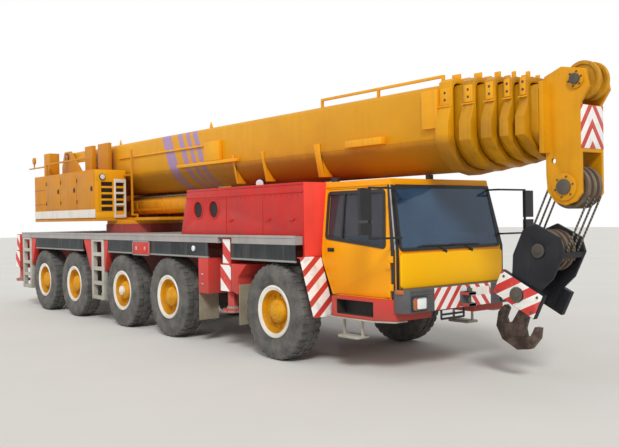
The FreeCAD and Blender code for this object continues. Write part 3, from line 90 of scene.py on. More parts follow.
# Poured concrete yard, swept pale: light enough to read as a plain floor, matt enough for shadows.
concrete, tree, shader = material("pale_concrete")
place = add(tree, "ShaderNodeTexCoord")
stain = add(tree, "ShaderNodeTexNoise", {"Vector": place.outputs["Object"], "Scale": 0.35, "Detail": 3.0})
tone = add(tree, "ShaderNodeMix", {0: stain.outputs[0], "A": linear("#D6D4CF"), "B": linear("#E2E0DB")}, data_type="RGBA")
tree.links.new(tone.outputs["Result"], shader.inputs["Base Color"])
shader.inputs["Roughness"].default_value = 0.9
bm = bmesh.new()
bmesh.ops.create_grid(bm, x_segments=1, y_segments=1, size=90.0)
floor_mesh = bpy.data.meshes.new("floor")
bm.to_mesh(floor_mesh)
bm.free()
floor_mesh.materials.append(concrete)
floor = bpy.data.objects.new("floor", floor_mesh)
bpy.context.scene.collection.objects.link(floor)

# An even sky: white behind the crane and in its reflections, softer where it only lights it.
sky = bpy.data.worlds.new("sky")
bpy.context.scene.world = sky
sky.use_nodes = True
tree = sky.node_tree
tree.nodes.clear()
rays = add(tree, "ShaderNodeLightPath")
seen = add(tree, "ShaderNodeMath", {0: rays.outputs["Is Camera Ray"], 1: rays.outputs["Is Transmission Ray"]}, operation="MAXIMUM")
shown = add(tree, "ShaderNodeMath", {0: seen.outputs[0], 1: rays.outputs["Is Glossy Ray"]}, operation="MAXIMUM")
SKY_LIGHT = 0.52
strength = add(tree, "ShaderNodeMapRange", {"Value": shown.outputs[0], "To Min": SKY_LIGHT, "To Max": 1.0})
glow = add(tree, "ShaderNodeBackground", {"Color": (1, 1, 1, 1), "Strength": strength.outputs[0]})
add(tree, "ShaderNodeOutputWorld", {"Surface": glow.outputs[0]})
# name, direction that the light comes from, strength, width in degrees
for name, toward, power, spread in (
    ("sun", (0.62, -0.48, 0.62), 1.9, 14.0),
    ("fill", (-0.3, -0.9, 0.4), 0.45, 60.0),
):
    lamp = bpy.data.lights.new(name, "SUN")
    lamp.energy = power
    lamp.angle = math.radians(spread)
    holder = bpy.data.objects.new(name, lamp)
    holder.rotation_euler = Vector(toward).to_track_quat("Z", "Y").to_euler()
    bpy.context.scene.collection.objects.link(holder)

# Carrier frame: welded box girder with the outrigger boxes, sprayed red and drawn darker as painted shade under the
# deck, greyed by road dirt.
# The axles and their steering knuckles are cast steel under the same dirt.
# The frame's pieces are the model's own, in better finishes.
STEEL_SHEET_WAVE = 2.2  # waves a metre in a sprayed plate that was welded from behind


def enamel(name, paint, faded, dirt, dirt_top, gloss=0.38, patch=1.6, rain=0.35):
    """Sprayed enamel on steel: paint that has faded in patches, rain streaks, and road dirt below a height."""
    made, tree, shader = material(name)
    place = add(tree, "ShaderNodeTexCoord").outputs["Object"]
    patches = add(tree, "ShaderNodeTexNoise", {"Vector": place, "Scale": patch, "Detail": 5.0, "Roughness": 0.6})
    age = add(tree, "ShaderNodeMapRange", {"Value": patches.outputs[0], "From Min": 0.35, "From Max": 0.68})
    coat = add(tree, "ShaderNodeMix", {0: age.outputs[0], "A": linear(paint), "B": linear(faded)}, data_type="RGBA")
    stretch = add(tree, "ShaderNodeMapping", {"Vector": place, "Scale": (7.0, 7.0, 0.5)})
    runs = add(tree, "ShaderNodeTexNoise", {"Vector": stretch.outputs[0], "Scale": 2.0, "Detail": 4.0})
    rain = add(tree, "ShaderNodeMapRange", {"Value": runs.outputs[0], "From Min": 0.52, "From Max": 0.8, "To Max": rain})
    streaked = add(tree, "ShaderNodeMix", {0: rain.outputs[0], "A": coat.outputs["Result"], "B": linear(dirt)}, data_type="RGBA")
    height = add(tree, "ShaderNodeSeparateXYZ", {0: place}).outputs["Z"]
    low = add(tree, "ShaderNodeMapRange", {"Value": height, "From Min": dirt_top, "From Max": 0.0, "To Max": 0.85})
    grime = add(tree, "ShaderNodeTexNoise", {"Vector": place, "Scale": 6.0, "Detail": 6.0, "Roughness": 0.7})
    broken = add(tree, "ShaderNodeMath", {0: low.outputs[0], 1: grime.outputs[0]}, operation="MULTIPLY")
    splash = add(tree, "ShaderNodeMapRange", {"Value": broken.outputs[0], "From Max": 0.45, "To Max": 0.8})
    dusty = add(tree, "ShaderNodeMix", {0: splash.outputs[0], "A": streaked.outputs["Result"], "B": linear(dirt)}, data_type="RGBA")
    tree.links.new(dusty.outputs["Result"], shader.inputs["Base Color"])
    dull = add(tree, "ShaderNodeMapRange", {"Value": grime.outputs[0], "To Min": gloss - 0.06, "To Max": gloss + 0.22})
    tree.links.new(dull.outputs[0], shader.inputs["Roughness"])
    wave = add(tree, "ShaderNodeTexNoise", {"Vector": place, "Scale": STEEL_SHEET_WAVE, "Detail": 1.0})
    dent = add(tree, "ShaderNodeBump", {"Height": wave.outputs[0], "Strength": 0.12, "Distance": 0.02})
    tree.links.new(dent.outputs[0], shader.inputs["Normal"])
    shader.inputs["IOR"].default_value = 1.5
    shader.inputs["Specular IOR Level"].default_value = 0.25
    return made


def dress(material, *nodes):
    """A better finish on the model's own pieces."""
    for name in nodes:
        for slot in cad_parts[name].material_slots:
            slot.material = material


ROAD_DIRT = "#6E665C"
# The frame's darker red is painted shade for the parts under the deck; the grey towards the bottom is road dirt.
frame_red_shade_and_dirt = enamel("frame_red_dirt_and_painted_shade", "#A8302C", "#8C2A28", ROAD_DIRT, 2.4, gloss=0.55)
cast_dirty = enamel("cast_steel_under_road_dirt", "#4A4640", "#5C564E", ROAD_DIRT, 1.6, gloss=0.7)
dress(frame_red_shade_and_dirt, "chassis_frame")
dress(cast_dirty, "axle_beams", *["knuckle_%d_%s" % (n, s) for n in (1, 2, 4, 5) for s in ("left", "right")])

# Wheels: crane tyres on one-piece steel rims, each bolted to its hub by ten nuts.
# The rubber is grey with dust, the rim's outer ring is white and its dish amber.
# Every wheel is the same turning, and the unsteered axle's drive hubs stand further out.
WHEEL_Z = 0.6697
TRACK_HALF = 1.17
TYRE_TURNS = 72
# radius, distance outboard of the tyre's middle
TYRE_SIDE = (
    (0.362, 0.148), (0.372, 0.160), (0.398, 0.163), (0.404, 0.170), (0.440, 0.178), (0.500, 0.186), (0.545, 0.187),
    (0.552, 0.183), (0.600, 0.176), (0.632, 0.163), (0.650, 0.145), (0.655, 0.118), (0.656, 0.060), (0.650, 0.052),
    (0.650, 0.040), (0.657, 0.034),
)
RIM_RING = (
    (0.330, -0.150), (0.361, -0.155), (0.361, 0.150), (0.367, 0.160), (0.362, 0.171), (0.350, 0.174), (0.336, 0.168),
    (0.322, 0.158), (0.300, 0.150),
)
RIM_DISH = (
    (0.300, 0.150), (0.288, 0.120), (0.282, 0.055), (0.262, 0.030), (0.238, 0.028), (0.196, 0.040), (0.176, 0.048),
    (0.170, 0.075), (0.160, 0.110), (0.148, 0.124), (0.110, 0.138), (0.105, 0.146), (0.060, 0.152), (0.052, 0.160),
    (0.0, 0.163),
)
NUT_RING, NUTS, NUT_R = 0.222, 10, 0.017


def turned(bm, profile, turns=TYRE_TURNS, mirrored=False):
    """A turning about the Y axis from (radius, distance outboard) points; right wheels look to -Y."""
    points = list(profile)
    if mirrored:
        points += [(r, -y) for r, y in reversed(profile)]
    verts = [bm.verts.new((0.0, -y, r)) for r, y in points]
    edges = [bm.edges.new(two) for two in zip(verts, verts[1:])]
    bmesh.ops.spin(
        bm, geom=verts + edges, cent=(0, 0, 0), axis=(0, 1, 0), angle=2 * math.pi, steps=turns, use_merge=True
    )
    bmesh.ops.remove_doubles(bm, verts=bm.verts, dist=0.00005)
    return bm


def rod(bm, start, end, radius, sides=16, tip=None):
    """A round bar between two points, or a cone where its tip has another radius."""
    a, b = Vector(start), Vector(end)
    turn = (b - a).to_track_quat("Z", "Y").to_matrix().to_4x4()
    return bmesh.ops.create_cone(
        bm, cap_ends=True, segments=sides, radius1=radius, radius2=radius if tip is None else tip,
        depth=(b - a).length, matrix=Matrix.Translation((a + b) / 2) @ turn,
    )["verts"]


def block(bm, xs, ys, zs):
    """A plate or block between two values on each axis."""
    middle = [(p + q) / 2 for p, q in (xs, ys, zs)]
    sides = [abs(q - p) for p, q in (xs, ys, zs)]
    place = Matrix.Translation(middle) @ Matrix.Diagonal(sides + [1.0])
    return bmesh.ops.create_cube(bm, size=1.0, matrix=place)["verts"]


def piece(name, bm, finish, body, ease=0.0, sharp=32.0, segments=2):
    """A finished piece from its mesh: edges eased, faces outward, smooth up to an angle, riding on its body."""
    if ease:
        bm.normal_update()
        edges = [e for e in bm.edges if len(e.link_faces) == 2 and e.calc_face_angle(0.0) > math.radians(28)]
        bmesh.ops.bevel(
            bm, geom=edges, offset=ease, segments=segments, profile=0.5, affect="EDGES", material=-1, clamp_overlap=True
        )
    bmesh.ops.recalc_face_normals(bm, faces=bm.faces)
    mesh = bpy.data.meshes.new(name)
    bm.to_mesh(mesh)
    bm.free()
    for one in finish if isinstance(finish, (list, tuple)) else (finish,):
        mesh.materials.append(one)
    mesh.shade_smooth()
    mesh.set_sharp_from_angle(angle=math.radians(sharp))
    made = bpy.data.objects.new(name, mesh)
    bpy.context.scene.collection.objects.link(made)
    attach(made, body)
    return made


# Tyre rubber: carbon-black compound, moulded, scuffed grey and dusted by the yard. Dull all over.
rubber, tree, shader = material("moulded_tyre_rubber")
place = add(tree, "ShaderNodeTexCoord").outputs["Object"]
dust = add(tree, "ShaderNodeTexNoise", {"Vector": place, "Scale": 5.0, "Detail": 7.0, "Roughness": 0.65})
cover = add(tree, "ShaderNodeMapRange", {"Value": dust.outputs[0], "From Min": 0.36, "From Max": 0.66})
shade = add(tree, "ShaderNodeMix", {0: cover.outputs[0], "A": linear("#484745"), "B": linear("#6C6964")}, data_type="RGBA")
tree.links.new(shade.outputs["Result"], shader.inputs["Base Color"])
grit = add(tree, "ShaderNodeTexNoise", {"Vector": place, "Scale": 60.0, "Detail": 4.0})
rough = add(tree, "ShaderNodeBump", {"Height": grit.outputs[0], "Strength": 0.35, "Distance": 0.004})
tree.links.new(rough.outputs[0], shader.inputs["Normal"])
shader.inputs["Roughness"].default_value = 0.86
shader.inputs["IOR"].default_value = 1.52

rim_white = enamel("rim_white_enamel", "#F4F0E8", "#E2DCD0", "#A89C88", 0.9, gloss=0.45, patch=5.0)
rim_amber = enamel("rim_amber_enamel", "#DC9C0C", "#C48810", "#8A5A1C", 0.7, gloss=0.42, patch=6.0)

for number, axle, steered in ((1, 0.0, True), (2, -3.0, True), (3, -4.75, False), (4, -7.0, True), (5, -8.67, True)):
    for side in ("right", "left"):
        name = "wheel_%d_%s" % (number, side)
        place = Matrix.Translation((FRONT_AXLE + axle, -TRACK_HALF, WHEEL_Z))
        if side == "left":
            place = Matrix.Scale(-1.0, 4, (0, 1, 0)) @ place
        bm = turned(bmesh.new(), TYRE_SIDE, mirrored=True)
        bm.faces.ensure_lookup_table()
        lugs = []
        for face in bm.faces:
            middle = face.calc_center_median()
            radius = math.hypot(middle.x, middle.z)
            turn = math.degrees(math.atan2(middle.x, middle.z)) % 360.0 / (360.0 / TYRE_TURNS)
            step = int(turn) + (1 if middle.y > 0 else 0)
            if radius > 0.636 and abs(middle.y) > 0.055 and step % 2:
                lugs.append(face)
            if radius > 0.648 and abs(middle.y) < 0.034 and step % 3:
                lugs.append(face)
        raised = bmesh.ops.extrude_face_region(bm, geom=lugs)["geom"]
        for vert in (v for v in raised if isinstance(v, bmesh.types.BMVert)):
            radius = math.hypot(vert.co.x, vert.co.z)
            grow = min(radius + 0.013, 0.6692) / radius
            vert.co = Vector((vert.co.x * grow, vert.co.y * 1.012, vert.co.z * grow))
        bmesh.ops.delete(bm, geom=[f for f in lugs if f.is_valid], context="FACES_ONLY")
        bmesh.ops.transform(bm, matrix=place, verts=bm.verts)
        tyre = piece("tyre_%d_%s" % (number, side), bm, rubber, name)
        ring = turned(bmesh.new(), RIM_RING)
        bmesh.ops.transform(ring, matrix=place, verts=ring.verts)
        piece("rim_ring_%d_%s" % (number, side), ring, rim_white, name)
        dish = turned(bmesh.new(), RIM_DISH, 48)
        for k in range(NUTS):
            angle = 2 * math.pi * (k + 0.5) / NUTS
            x, z = NUT_RING * math.cos(angle), NUT_RING * math.sin(angle)
            rod(dish, (x, -0.026, z), (x, -0.052, z), NUT_R, 6)
            rod(dish, (x, -0.050, z), (x, -0.070, z), NUT_R * 0.55, 8)
        for k in range(6):
            angle = 2 * math.pi * k / 6
            x, z = 0.128 * math.cos(angle), 0.128 * math.sin(angle)
            rod(dish, (x, -0.125, z), (x, -0.139, z), 0.009, 6)
        bmesh.ops.transform(dish, matrix=place, verts=dish.verts)
        piece("rim_dish_%d_%s" % (number, side), dish, rim_amber, name)
        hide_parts(name)
        if not steered:
            cap = turned(bmesh.new(), ((0.085, 0.140), (0.085, 0.180), (0.075, 0.192), (0.052, 0.196), (0.048, 0.206), (0.0, 0.209)), 32)
            bmesh.ops.transform(cap, matrix=place, verts=cap.verts)
            piece("hub_cap_%d_%s" % (number, side), cap, rim_white, name)

# Deck and skirts: chequered steel walkways edged with a folded pale grey band.
# Slate grey skirts hang below it between the ladders, each ending in a lighter folded lip.
# The plates are welded to the carrier and sprayed.
def remade(name, node, body, finishes, ease=0.0, segments=2, sharp=32.0):
    """A copy of the model's own piece, welded, its edges eased, in the place of the plain one.

    Finishes are (material, low corner, high corner); a solid whose middle lies in such a box takes
    it, and the rest take the first.
    """
    bm = bmesh.new()
    bm.from_mesh(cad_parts[node].data)
    bmesh.ops.remove_doubles(bm, verts=bm.verts, dist=0.00003)
    bmesh.ops.dissolve_limit(bm, angle_limit=math.radians(0.5), verts=bm.verts, edges=bm.edges)
    left = set(bm.faces)
    while left:
        heap = [left.pop()]
        island = set(heap)
        while heap:
            for edge in heap.pop().edges:
                for face in edge.link_faces:
                    if face in left:
                        left.remove(face)
                        island.add(face)
                        heap.append(face)
        points = [v.co for f in island for v in f.verts]
        middle = [(min(p[k] for p in points) + max(p[k] for p in points)) / 2 for k in range(3)]
        for index, (_, low, high) in enumerate(finishes[1:], 1):
            if all(low[k] <= middle[k] <= high[k] for k in range(3)):
                for face in island:
                    face.material_index = index
                break
    made = piece(name, bm, [finish[0] for finish in finishes], body, ease, sharp, segments)
    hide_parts(node)
    return made


def everywhere(finish):
    return [(finish, None, None)]


band_grey = enamel("galvanised_deck_band", "#AEA8A6", "#9E9A98", "#8E897E", 1.9, gloss=0.5, patch=2.5)
slate_grey = enamel("slate_grey_skirt_paint", "#222528", "#34373A", "#7A766E", 1.5, gloss=0.48, patch=1.2)
lip_grey = enamel("worn_folded_lip", "#8E918E", "#A3A49E", "#7A766E", 2.0, gloss=0.5, patch=6.0)
tan_flap = enamel("tan_rubber_mud_flap", "#A79C84", "#8F8570", "#6E665C", 0.9, gloss=0.8, patch=4.0)
remade("deck_plates", "deck", "carrier", [
    (band_grey, None, None),
    (slate_grey, (-8.0, -1.4, 1.40), (6.0, 1.4, 1.58)),
    (tan_flap, (FRONT_AXLE - 2.1, -1.4, 0.3), (FRONT_AXLE - 0.7, 1.4, 1.1)),
])
DECK_EDGE, DECK_TOP, SKIRT_LOW = 1.375, 1.715, 1.385
# rear end, front end of each run of skirt, from the front axle
SKIRT_RUNS = ((-9.09, -6.43), (-5.25, -1.64), (-1.00, 0.56))
bm = bmesh.new()
for rear, front in SKIRT_RUNS:
    for s in (-1, 1):
        block(bm, (FRONT_AXLE + rear, FRONT_AXLE + front), (s * (DECK_EDGE - 0.030), s * (DECK_EDGE - 0.002)), (SKIRT_LOW - 0.022, SKIRT_LOW + 0.006))
piece("skirt_lips", bm, lip_grey, "carrier", ease=0.004)
bm = bmesh.new()
for s in (-1, 1):
    # a rounded rail along the band's top and a shadowed joint under it
    block(bm, (FRONT_AXLE - 9.99, FRONT_AXLE + 0.55), (s * (DECK_EDGE - 0.035), s * (DECK_EDGE + 0.008)), (DECK_TOP - 0.028, DECK_TOP + 0.010))
    block(bm, (FRONT_AXLE - 9.99, FRONT_AXLE - 1.38), (s * (DECK_EDGE - 0.035), s * (DECK_EDGE + 0.006)), (DECK_TOP - 0.113, DECK_TOP - 0.090))
piece("deck_rails", bm, band_grey, "carrier", ease=0.006)

# Chequer plate: rolled steel with raised tears that catch the light, trodden dusty.
chequer, tree, shader = material("rolled_chequer_plate")
place = add(tree, "ShaderNodeTexCoord").outputs["Object"]
TEAR_PITCH = 0.030  # metres between the raised tears
tears = add(tree, "ShaderNodeTexBrick", {
    "Vector": place, "Color1": (1, 1, 1, 1), "Color2": (1, 1, 1, 1), "Mortar": (0, 0, 0, 1),
    "Scale": 1.0, "Mortar Size": TEAR_PITCH * 0.28, "Brick Width": TEAR_PITCH, "Row Height": TEAR_PITCH * 0.5,
})
raised = add(tree, "ShaderNodeBump", {"Height": tears.outputs[0], "Strength": 0.6, "Distance": 0.002})
tree.links.new(raised.outputs[0], shader.inputs["Normal"])
tread = add(tree, "ShaderNodeTexNoise", {"Vector": place, "Scale": 1.8, "Detail": 6.0})
worn = add(tree, "ShaderNodeMix", {0: tread.outputs[0], "A": linear("#8C8B86"), "B": linear("#B0AEA6")}, data_type="RGBA")
tree.links.new(worn.outputs["Result"], shader.inputs["Base Color"])
shader.inputs["Metallic"].default_value = 0.35
shader.inputs["Roughness"].default_value = 0.55
# deck stretches that the houses leave open: rear end, front end, inner and outer edge
bm = bmesh.new()
for rear, front, inner, outer in ((-9.98, -7.18, 0.0, 1.33), (-5.4, -2.72, 0.0, 1.33), (-2.66, 0.54, 1.262, 1.33), (-7.18, -5.4, 0.86, 1.33)):
    for s in (-1, 1):
        block(bm, (FRONT_AXLE + rear, FRONT_AXLE + front), (s * inner, s * outer), (DECK_TOP + 0.0002, DECK_TOP + 0.004))
piece("deck_treads", bm, chequer, "carrier")

# Red sheet pieces along the sides: wings, lockers, gussets and the step boxes under the cab.
# Folded steel, sprayed the carrier's red, sun-bleached on the outer faces.
carrier_red = enamel("sprayed_carrier_red", "#D2332C", "#C6453C", "#7A5A50", 1.3, gloss=0.36)
step_grey = enamel("pale_grey_step_paint", "#C8C5BC", "#B2AEA2", "#8A8272", 1.4, gloss=0.6, patch=5.0)
recess_shade_black, tree, shader = material("painted_shade_near_black")
# Painted shade: a dull, mottled near-black drawn inside recesses and grids where shade falls.
place = add(tree, "ShaderNodeTexCoord").outputs["Object"]
grime = add(tree, "ShaderNodeTexNoise", {"Vector": place, "Scale": 14.0, "Detail": 5.0})
shade = add(tree, "ShaderNodeMix", {0: grime.outputs[0], "A": linear("#1E1C1A"), "B": linear("#3E3A34")}, data_type="RGBA")
tree.links.new(shade.outputs["Result"], shader.inputs["Base Color"])
shader.inputs["Roughness"].default_value = 0.75
remade("side_sheets", "side_boxes", "carrier", everywhere(carrier_red), ease=0.008)
bm = bmesh.new()
for s in (-1, 1):
    # near-black lining of the foot recess in each step box: painted shade inside the recess
    xs, ys, zs = (FRONT_AXLE + 1.1255, FRONT_AXLE + 1.8095), (s * 1.1450, s * 0.9855), (0.7305, 0.9145)
    block(bm, xs, (s * 0.9890, s * 0.9855), zs)
    block(bm, xs, ys, (zs[1] - 0.003, zs[1]))
    block(bm, xs, ys, (zs[0], zs[0] + 0.003))
    block(bm, (xs[0], xs[0] + 0.003), ys, zs)
    block(bm, (xs[1] - 0.003, xs[1]), ys, zs)
piece("step_recess_painted_shade", bm, recess_shade_black, "carrier")
remade("ladder_plates", "ladders", "carrier", everywhere(step_grey), ease=0.006)
bm = bmesh.new()
for s in (-1, 1):
    # the white frame of the box on the skirt, and its latch
    face = s * 1.3875
    for xs, zs in (
        ((-4.180, -3.540), (1.575, 1.600)), ((-4.180, -3.540), (1.345, 1.365)),
        ((-4.180, -4.158), (1.345, 1.600)), ((-3.562, -3.540), (1.345, 1.600)),
    ):
        block(bm, [FRONT_AXLE + x for x in xs], (face, face + s * 0.006), zs)
piece("skirt_box_frames", bm, lip_grey, "carrier", ease=0.002)
bm = bmesh.new()
for s in (-1, 1):
    for x in (-4.02, -3.70):
        block(bm, (FRONT_AXLE + x - 0.02, FRONT_AXLE + x + 0.02), (s * 1.3875, s * 1.400), (1.44, 1.50))
    for x, z in ((-1.80, 1.10), (-1.80, 0.95)):
        block(bm, (FRONT_AXLE + x - 0.03, FRONT_AXLE + x + 0.03), (s * 1.3752, s * 1.387), (z, z + 0.02))
piece("locker_latches", bm, step_grey, "carrier", ease=0.003)
LAMP_X, LAMP_Z = -2.06, 1.505
bm = bmesh.new()
for s in (-1, 1):
    rod(bm, (FRONT_AXLE + LAMP_X, s * 1.370, LAMP_Z), (FRONT_AXLE + LAMP_X, s * 1.392, LAMP_Z), 0.045, 20)
lens_white, tree, shader = material("clear_ribbed_lens")
# Clear moulded lens over a bright reflector: reads as a pale, shiny dot.
place = add(tree, "ShaderNodeTexCoord").outputs["Object"]
ribs = add(tree, "ShaderNodeTexWave", {"Vector": place, "Scale": 40.0, "Distortion": 0.0})
ridge = add(tree, "ShaderNodeBump", {"Height": ribs.outputs[1], "Strength": 0.3, "Distance": 0.002})
glass_tone = add(tree, "ShaderNodeMix", {0: ribs.outputs[1], "A": linear("#D8DCDD"), "B": linear("#F2F4F2")}, data_type="RGBA")
tree.links.new(glass_tone.outputs["Result"], shader.inputs["Base Color"])
tree.links.new(ridge.outputs[0], shader.inputs["Normal"])
shader.inputs["Roughness"].default_value = 0.12
piece("side_marker_lamps", bm, lens_white, "carrier", ease=0.005)

# Outriggers: box beams that slide out of the carrier, each with a jack in a striped column.
# Sprayed red, with white bands rolled on over it, and a dull grey foot under each ram.
def striped(name, along, pitch, share=0.5, white="#F2F0EA", red="#D0322C", offset=0.0):
    """Warning stripes rolled on sheet steel: white enamel with red bands, slanting along the direction given."""
    made, tree, shader = material(name)
    place = add(tree, "ShaderNodeTexCoord").outputs["Object"]
    run = add(tree, "ShaderNodeVectorMath", {0: place, 1: along}, operation="DOT_PRODUCT").outputs["Value"]
    moved = add(tree, "ShaderNodeMath", {0: run, 1: offset}, operation="ADD")
    turn = add(tree, "ShaderNodeMath", {0: moved.outputs[0], 1: pitch}, operation="FLOORED_MODULO")
    band = add(tree, "ShaderNodeMath", {0: turn.outputs[0], 1: pitch * share}, operation="LESS_THAN")
    wear = add(tree, "ShaderNodeTexNoise", {"Vector": place, "Scale": 9.0, "Detail": 6.0, "Roughness": 0.65})
    scuff = add(tree, "ShaderNodeMapRange", {"Value": wear.outputs[0], "From Min": 0.5, "From Max": 0.8, "To Max": 0.4})
    paint = add(tree, "ShaderNodeMix", {0: band.outputs[0], "A": linear(white), "B": linear(red)}, data_type="RGBA")
    aged = add(tree, "ShaderNodeMix", {0: scuff.outputs[0], "A": paint.outputs["Result"], "B": linear("#B7A99C")}, data_type="RGBA")
    tree.links.new(aged.outputs["Result"], shader.inputs["Base Color"])
    dull = add(tree, "ShaderNodeMapRange", {"Value": wear.outputs[0], "To Min": 0.35, "To Max": 0.6})
    tree.links.new(dull.outputs[0], shader.inputs["Roughness"])
    return made


column_stripes = striped("column_warning_stripes", (0.62, 0.0, 0.78), 0.30, offset=0.02)
dull_foot = enamel("grey_cast_foot", "#8C8B84", "#A09E94", "#6E665C", 0.9, gloss=0.65, patch=7.0)
for corner, beam_x in (("front_right", -1.160), ("front_left", -1.476), ("rear_right", -10.340), ("rear_left", -10.656)):
    s = -1 if "right" in corner else 1
    x = FRONT_AXLE + beam_x
    beam, jack = "outrigger_beam_" + corner, "outrigger_jack_" + corner
    remade("slide_beam_" + corner, beam, beam, everywhere(carrier_red), ease=0.008)
    bm = bmesh.new()
    # stripes on the column's outer face and on the beam's end, and a pale cap on the column
    block(bm, (x - 0.100, x + 0.100), (s * 1.3402, s * 1.3435), (1.300, 1.660))
    block(bm, (x - 0.139, x + 0.139), (s * 1.3602, s * 1.3640), (0.885, 1.275))
    piece("stripes_" + corner, bm, column_stripes, beam)
    jack_body = remade("ram_" + corner, jack, jack, everywhere(carrier_red), ease=0.003)
    bm = turned(bmesh.new(), ((0.0, 0.0), (0.150, 0.0), (0.160, 0.008), (0.160, 0.030), (0.120, 0.055), (0.098, 0.062), (0.092, 0.090), (0.080, 0.094)), 40)
    spot = Matrix.Translation((x, s * 1.235, 0.5602)) @ Matrix.Rotation(math.radians(-90), 4, "X")
    bmesh.ops.transform(bm, matrix=spot, verts=bm.verts)
    piece("foot_" + corner, bm, dull_foot, jack)

# Engine house: a closed sheet-steel hood on the deck, with a sloping rear and two round vents.
# Welded panels with a lap seam near the top, sprayed red; its front wall is drawn a lighter red, painted light where
# the sun falls on it.
# The engine fills it, and a flat rest for the boom is bolted to its roof.
HOUSE_HALF_W, HOUSE_FRONT_X, HOUSE_TOP = 1.25, FRONT_AXLE + 0.600, 2.440
house_red = enamel("sprayed_house_red", "#CC2C26", "#BE2620", "#8A5048", 1.2, gloss=0.34)
# The front wall's lighter red is painted light: the face toward the sun drawn brighter than the sides.
lit_front_red = enamel("front_red_painted_light", "#FF5244", "#F44A3C", "#A85A4C", 1.2, gloss=0.32)
remade("hood", "engine_house", "carrier", everywhere(house_red), ease=0.012)
engine_iron = enamel("cast_engine_block", "#3C3E40", "#4C4A46", "#2C2A28", 0.5, gloss=0.6, patch=5.0)
dress(engine_iron, "engine")
bm = bmesh.new()
block(bm, (HOUSE_FRONT_X + 0.0005, HOUSE_FRONT_X + 0.006), (-HOUSE_HALF_W + 0.004, HOUSE_HALF_W - 0.004), (1.444, HOUSE_TOP - 0.004))
piece("hood_front_skin", bm, lit_front_red, "carrier", ease=0.002)
bm = bmesh.new()
for s in (-1, 1):
    wall = s * HOUSE_HALF_W
    # the lap seam, a folded edge above it, and the panel joints
    block(bm, (FRONT_AXLE - 2.485, HOUSE_FRONT_X), (wall, wall + s * 0.010), (2.300, 2.330))
    block(bm, (FRONT_AXLE - 2.460, HOUSE_FRONT_X), (wall, wall + s * 0.006), (2.405, 2.438))
    for x in (-1.30, -0.35):
        block(bm, (FRONT_AXLE + x, FRONT_AXLE + x + 0.012), (wall, wall + s * 0.004), (1.72, 2.300))
    for k in range(24):
        x = FRONT_AXLE - 2.40 + k * 0.125
        bmesh.ops.create_uvsphere(bm, u_segments=8, v_segments=4, radius=0.008, matrix=Matrix.Translation((x, wall + s * 0.004, 2.270)))
    # handles on the lower doors
    for x in (-1.22, -0.26, 0.30):
        block(bm, (FRONT_AXLE + x, FRONT_AXLE + x + 0.10), (wall, wall + s * 0.022), (1.93, 1.955))
piece("hood_seams", bm, house_red, "carrier", ease=0.002)
# the round vents: a pressed collar with a dark mesh behind it, its dark standing for painted shade in the hole
vent_hole_shade, tree, shader = material("vent_mesh_over_painted_shade")
# Expanded steel mesh over the vent's hole: the near-black between the wires is painted shade, so each vent reads as a
# dark hole with a fine sparkle.
place = add(tree, "ShaderNodeTexCoord").outputs["Object"]
MESH_PITCH = 0.012
weave = add(tree, "ShaderNodeTexVoronoi", {"Vector": place, "Scale": 1.0 / MESH_PITCH}, feature="DISTANCE_TO_EDGE")
wire = add(tree, "ShaderNodeMapRange", {"Value": weave.outputs[0], "From Max": 0.12, "To Min": 1.0, "To Max": 0.0})
dark = add(tree, "ShaderNodeMix", {0: wire.outputs[0], "A": linear("#120E0D"), "B": linear("#3A2A28")}, data_type="RGBA")
tree.links.new(dark.outputs["Result"], shader.inputs["Base Color"])
shader.inputs["Roughness"].default_value = 0.8
for x in (-2.117, -1.652):
    for s in (-1, 1):
        place = Matrix.Translation((FRONT_AXLE + x, s * HOUSE_HALF_W, 2.110))
        if s > 0:
            place = place @ Matrix.Scale(-1.0, 4, (0, 1, 0))
        bm = turned(bmesh.new(), ((0.126, -0.020), (0.128, 0.002), (0.136, 0.008), (0.150, 0.008), (0.156, 0.001)), 32)
        bmesh.ops.transform(bm, matrix=place, verts=bm.verts)
        side = "right" if s < 0 else "left"
        piece("vent_collar_%s_%d" % (side, abs(x * 100)), bm, house_red, "carrier")
        bm = turned(bmesh.new(), ((0.0, -0.016), (0.129, -0.016), (0.129, -0.022), (0.0, -0.022)), 32)
        bmesh.ops.transform(bm, matrix=place, verts=bm.verts)
        piece("vent_mesh_%s_%d" % (side, abs(x * 100)), bm, vent_hole_shade, "carrier")

# Driver's cab: a pressed steel shell with hinged doors, hollow inside, sprayed orange-yellow.
# Bonded glass in black rubber frames, a matt grey interior behind it.
# The front panel is a separate pressing with rounded lower corners, in a lighter yellow that is painted light on the
# sunlit front.
cab_yellow = enamel("sprayed_cab_yellow", "#F6A400", "#F29E00", "#B88420", 0.7, gloss=0.40, rain=0.06)
# The front panel's brighter yellow is painted light: the face toward the sun drawn lighter than the sides.
lit_front_yellow = enamel("front_yellow_painted_light", "#FFC000", "#FFBA00", "#C08A24", 0.7, gloss=0.40, rain=0.05)
remade("cab_pressing", "cab_shell", "carrier", everywhere(cab_yellow), ease=0.022, segments=3)
remade("door_pressing_right", "door_right", "door_right", everywhere(cab_yellow), ease=0.004)
remade("door_pressing_left", "door_left", "door_left", everywhere(cab_yellow), ease=0.004)
CAB_FRONT, CAB_BELT, CAB_ROOF = FRONT_AXLE + 2.080, 1.545, 2.430
CAB_HALF_W, CAB_TOP_HALF_W, CAB_TOP_FRONT = 1.020, 0.925, FRONT_AXLE + 1.900


def front_at(z, out=0.0):
    """The windscreen's plane: X at a height, moved out by a distance."""
    return CAB_FRONT + (CAB_TOP_FRONT - CAB_FRONT) * (z - CAB_BELT) / (CAB_ROOF - CAB_BELT) + out


def side_at(z, out=0.0):
    """The cab's side wall above the belt: distance from the middle at a height."""
    return CAB_HALF_W + (CAB_TOP_HALF_W - CAB_HALF_W) * max(0.0, z - CAB_BELT) / (CAB_ROOF - CAB_BELT) + out


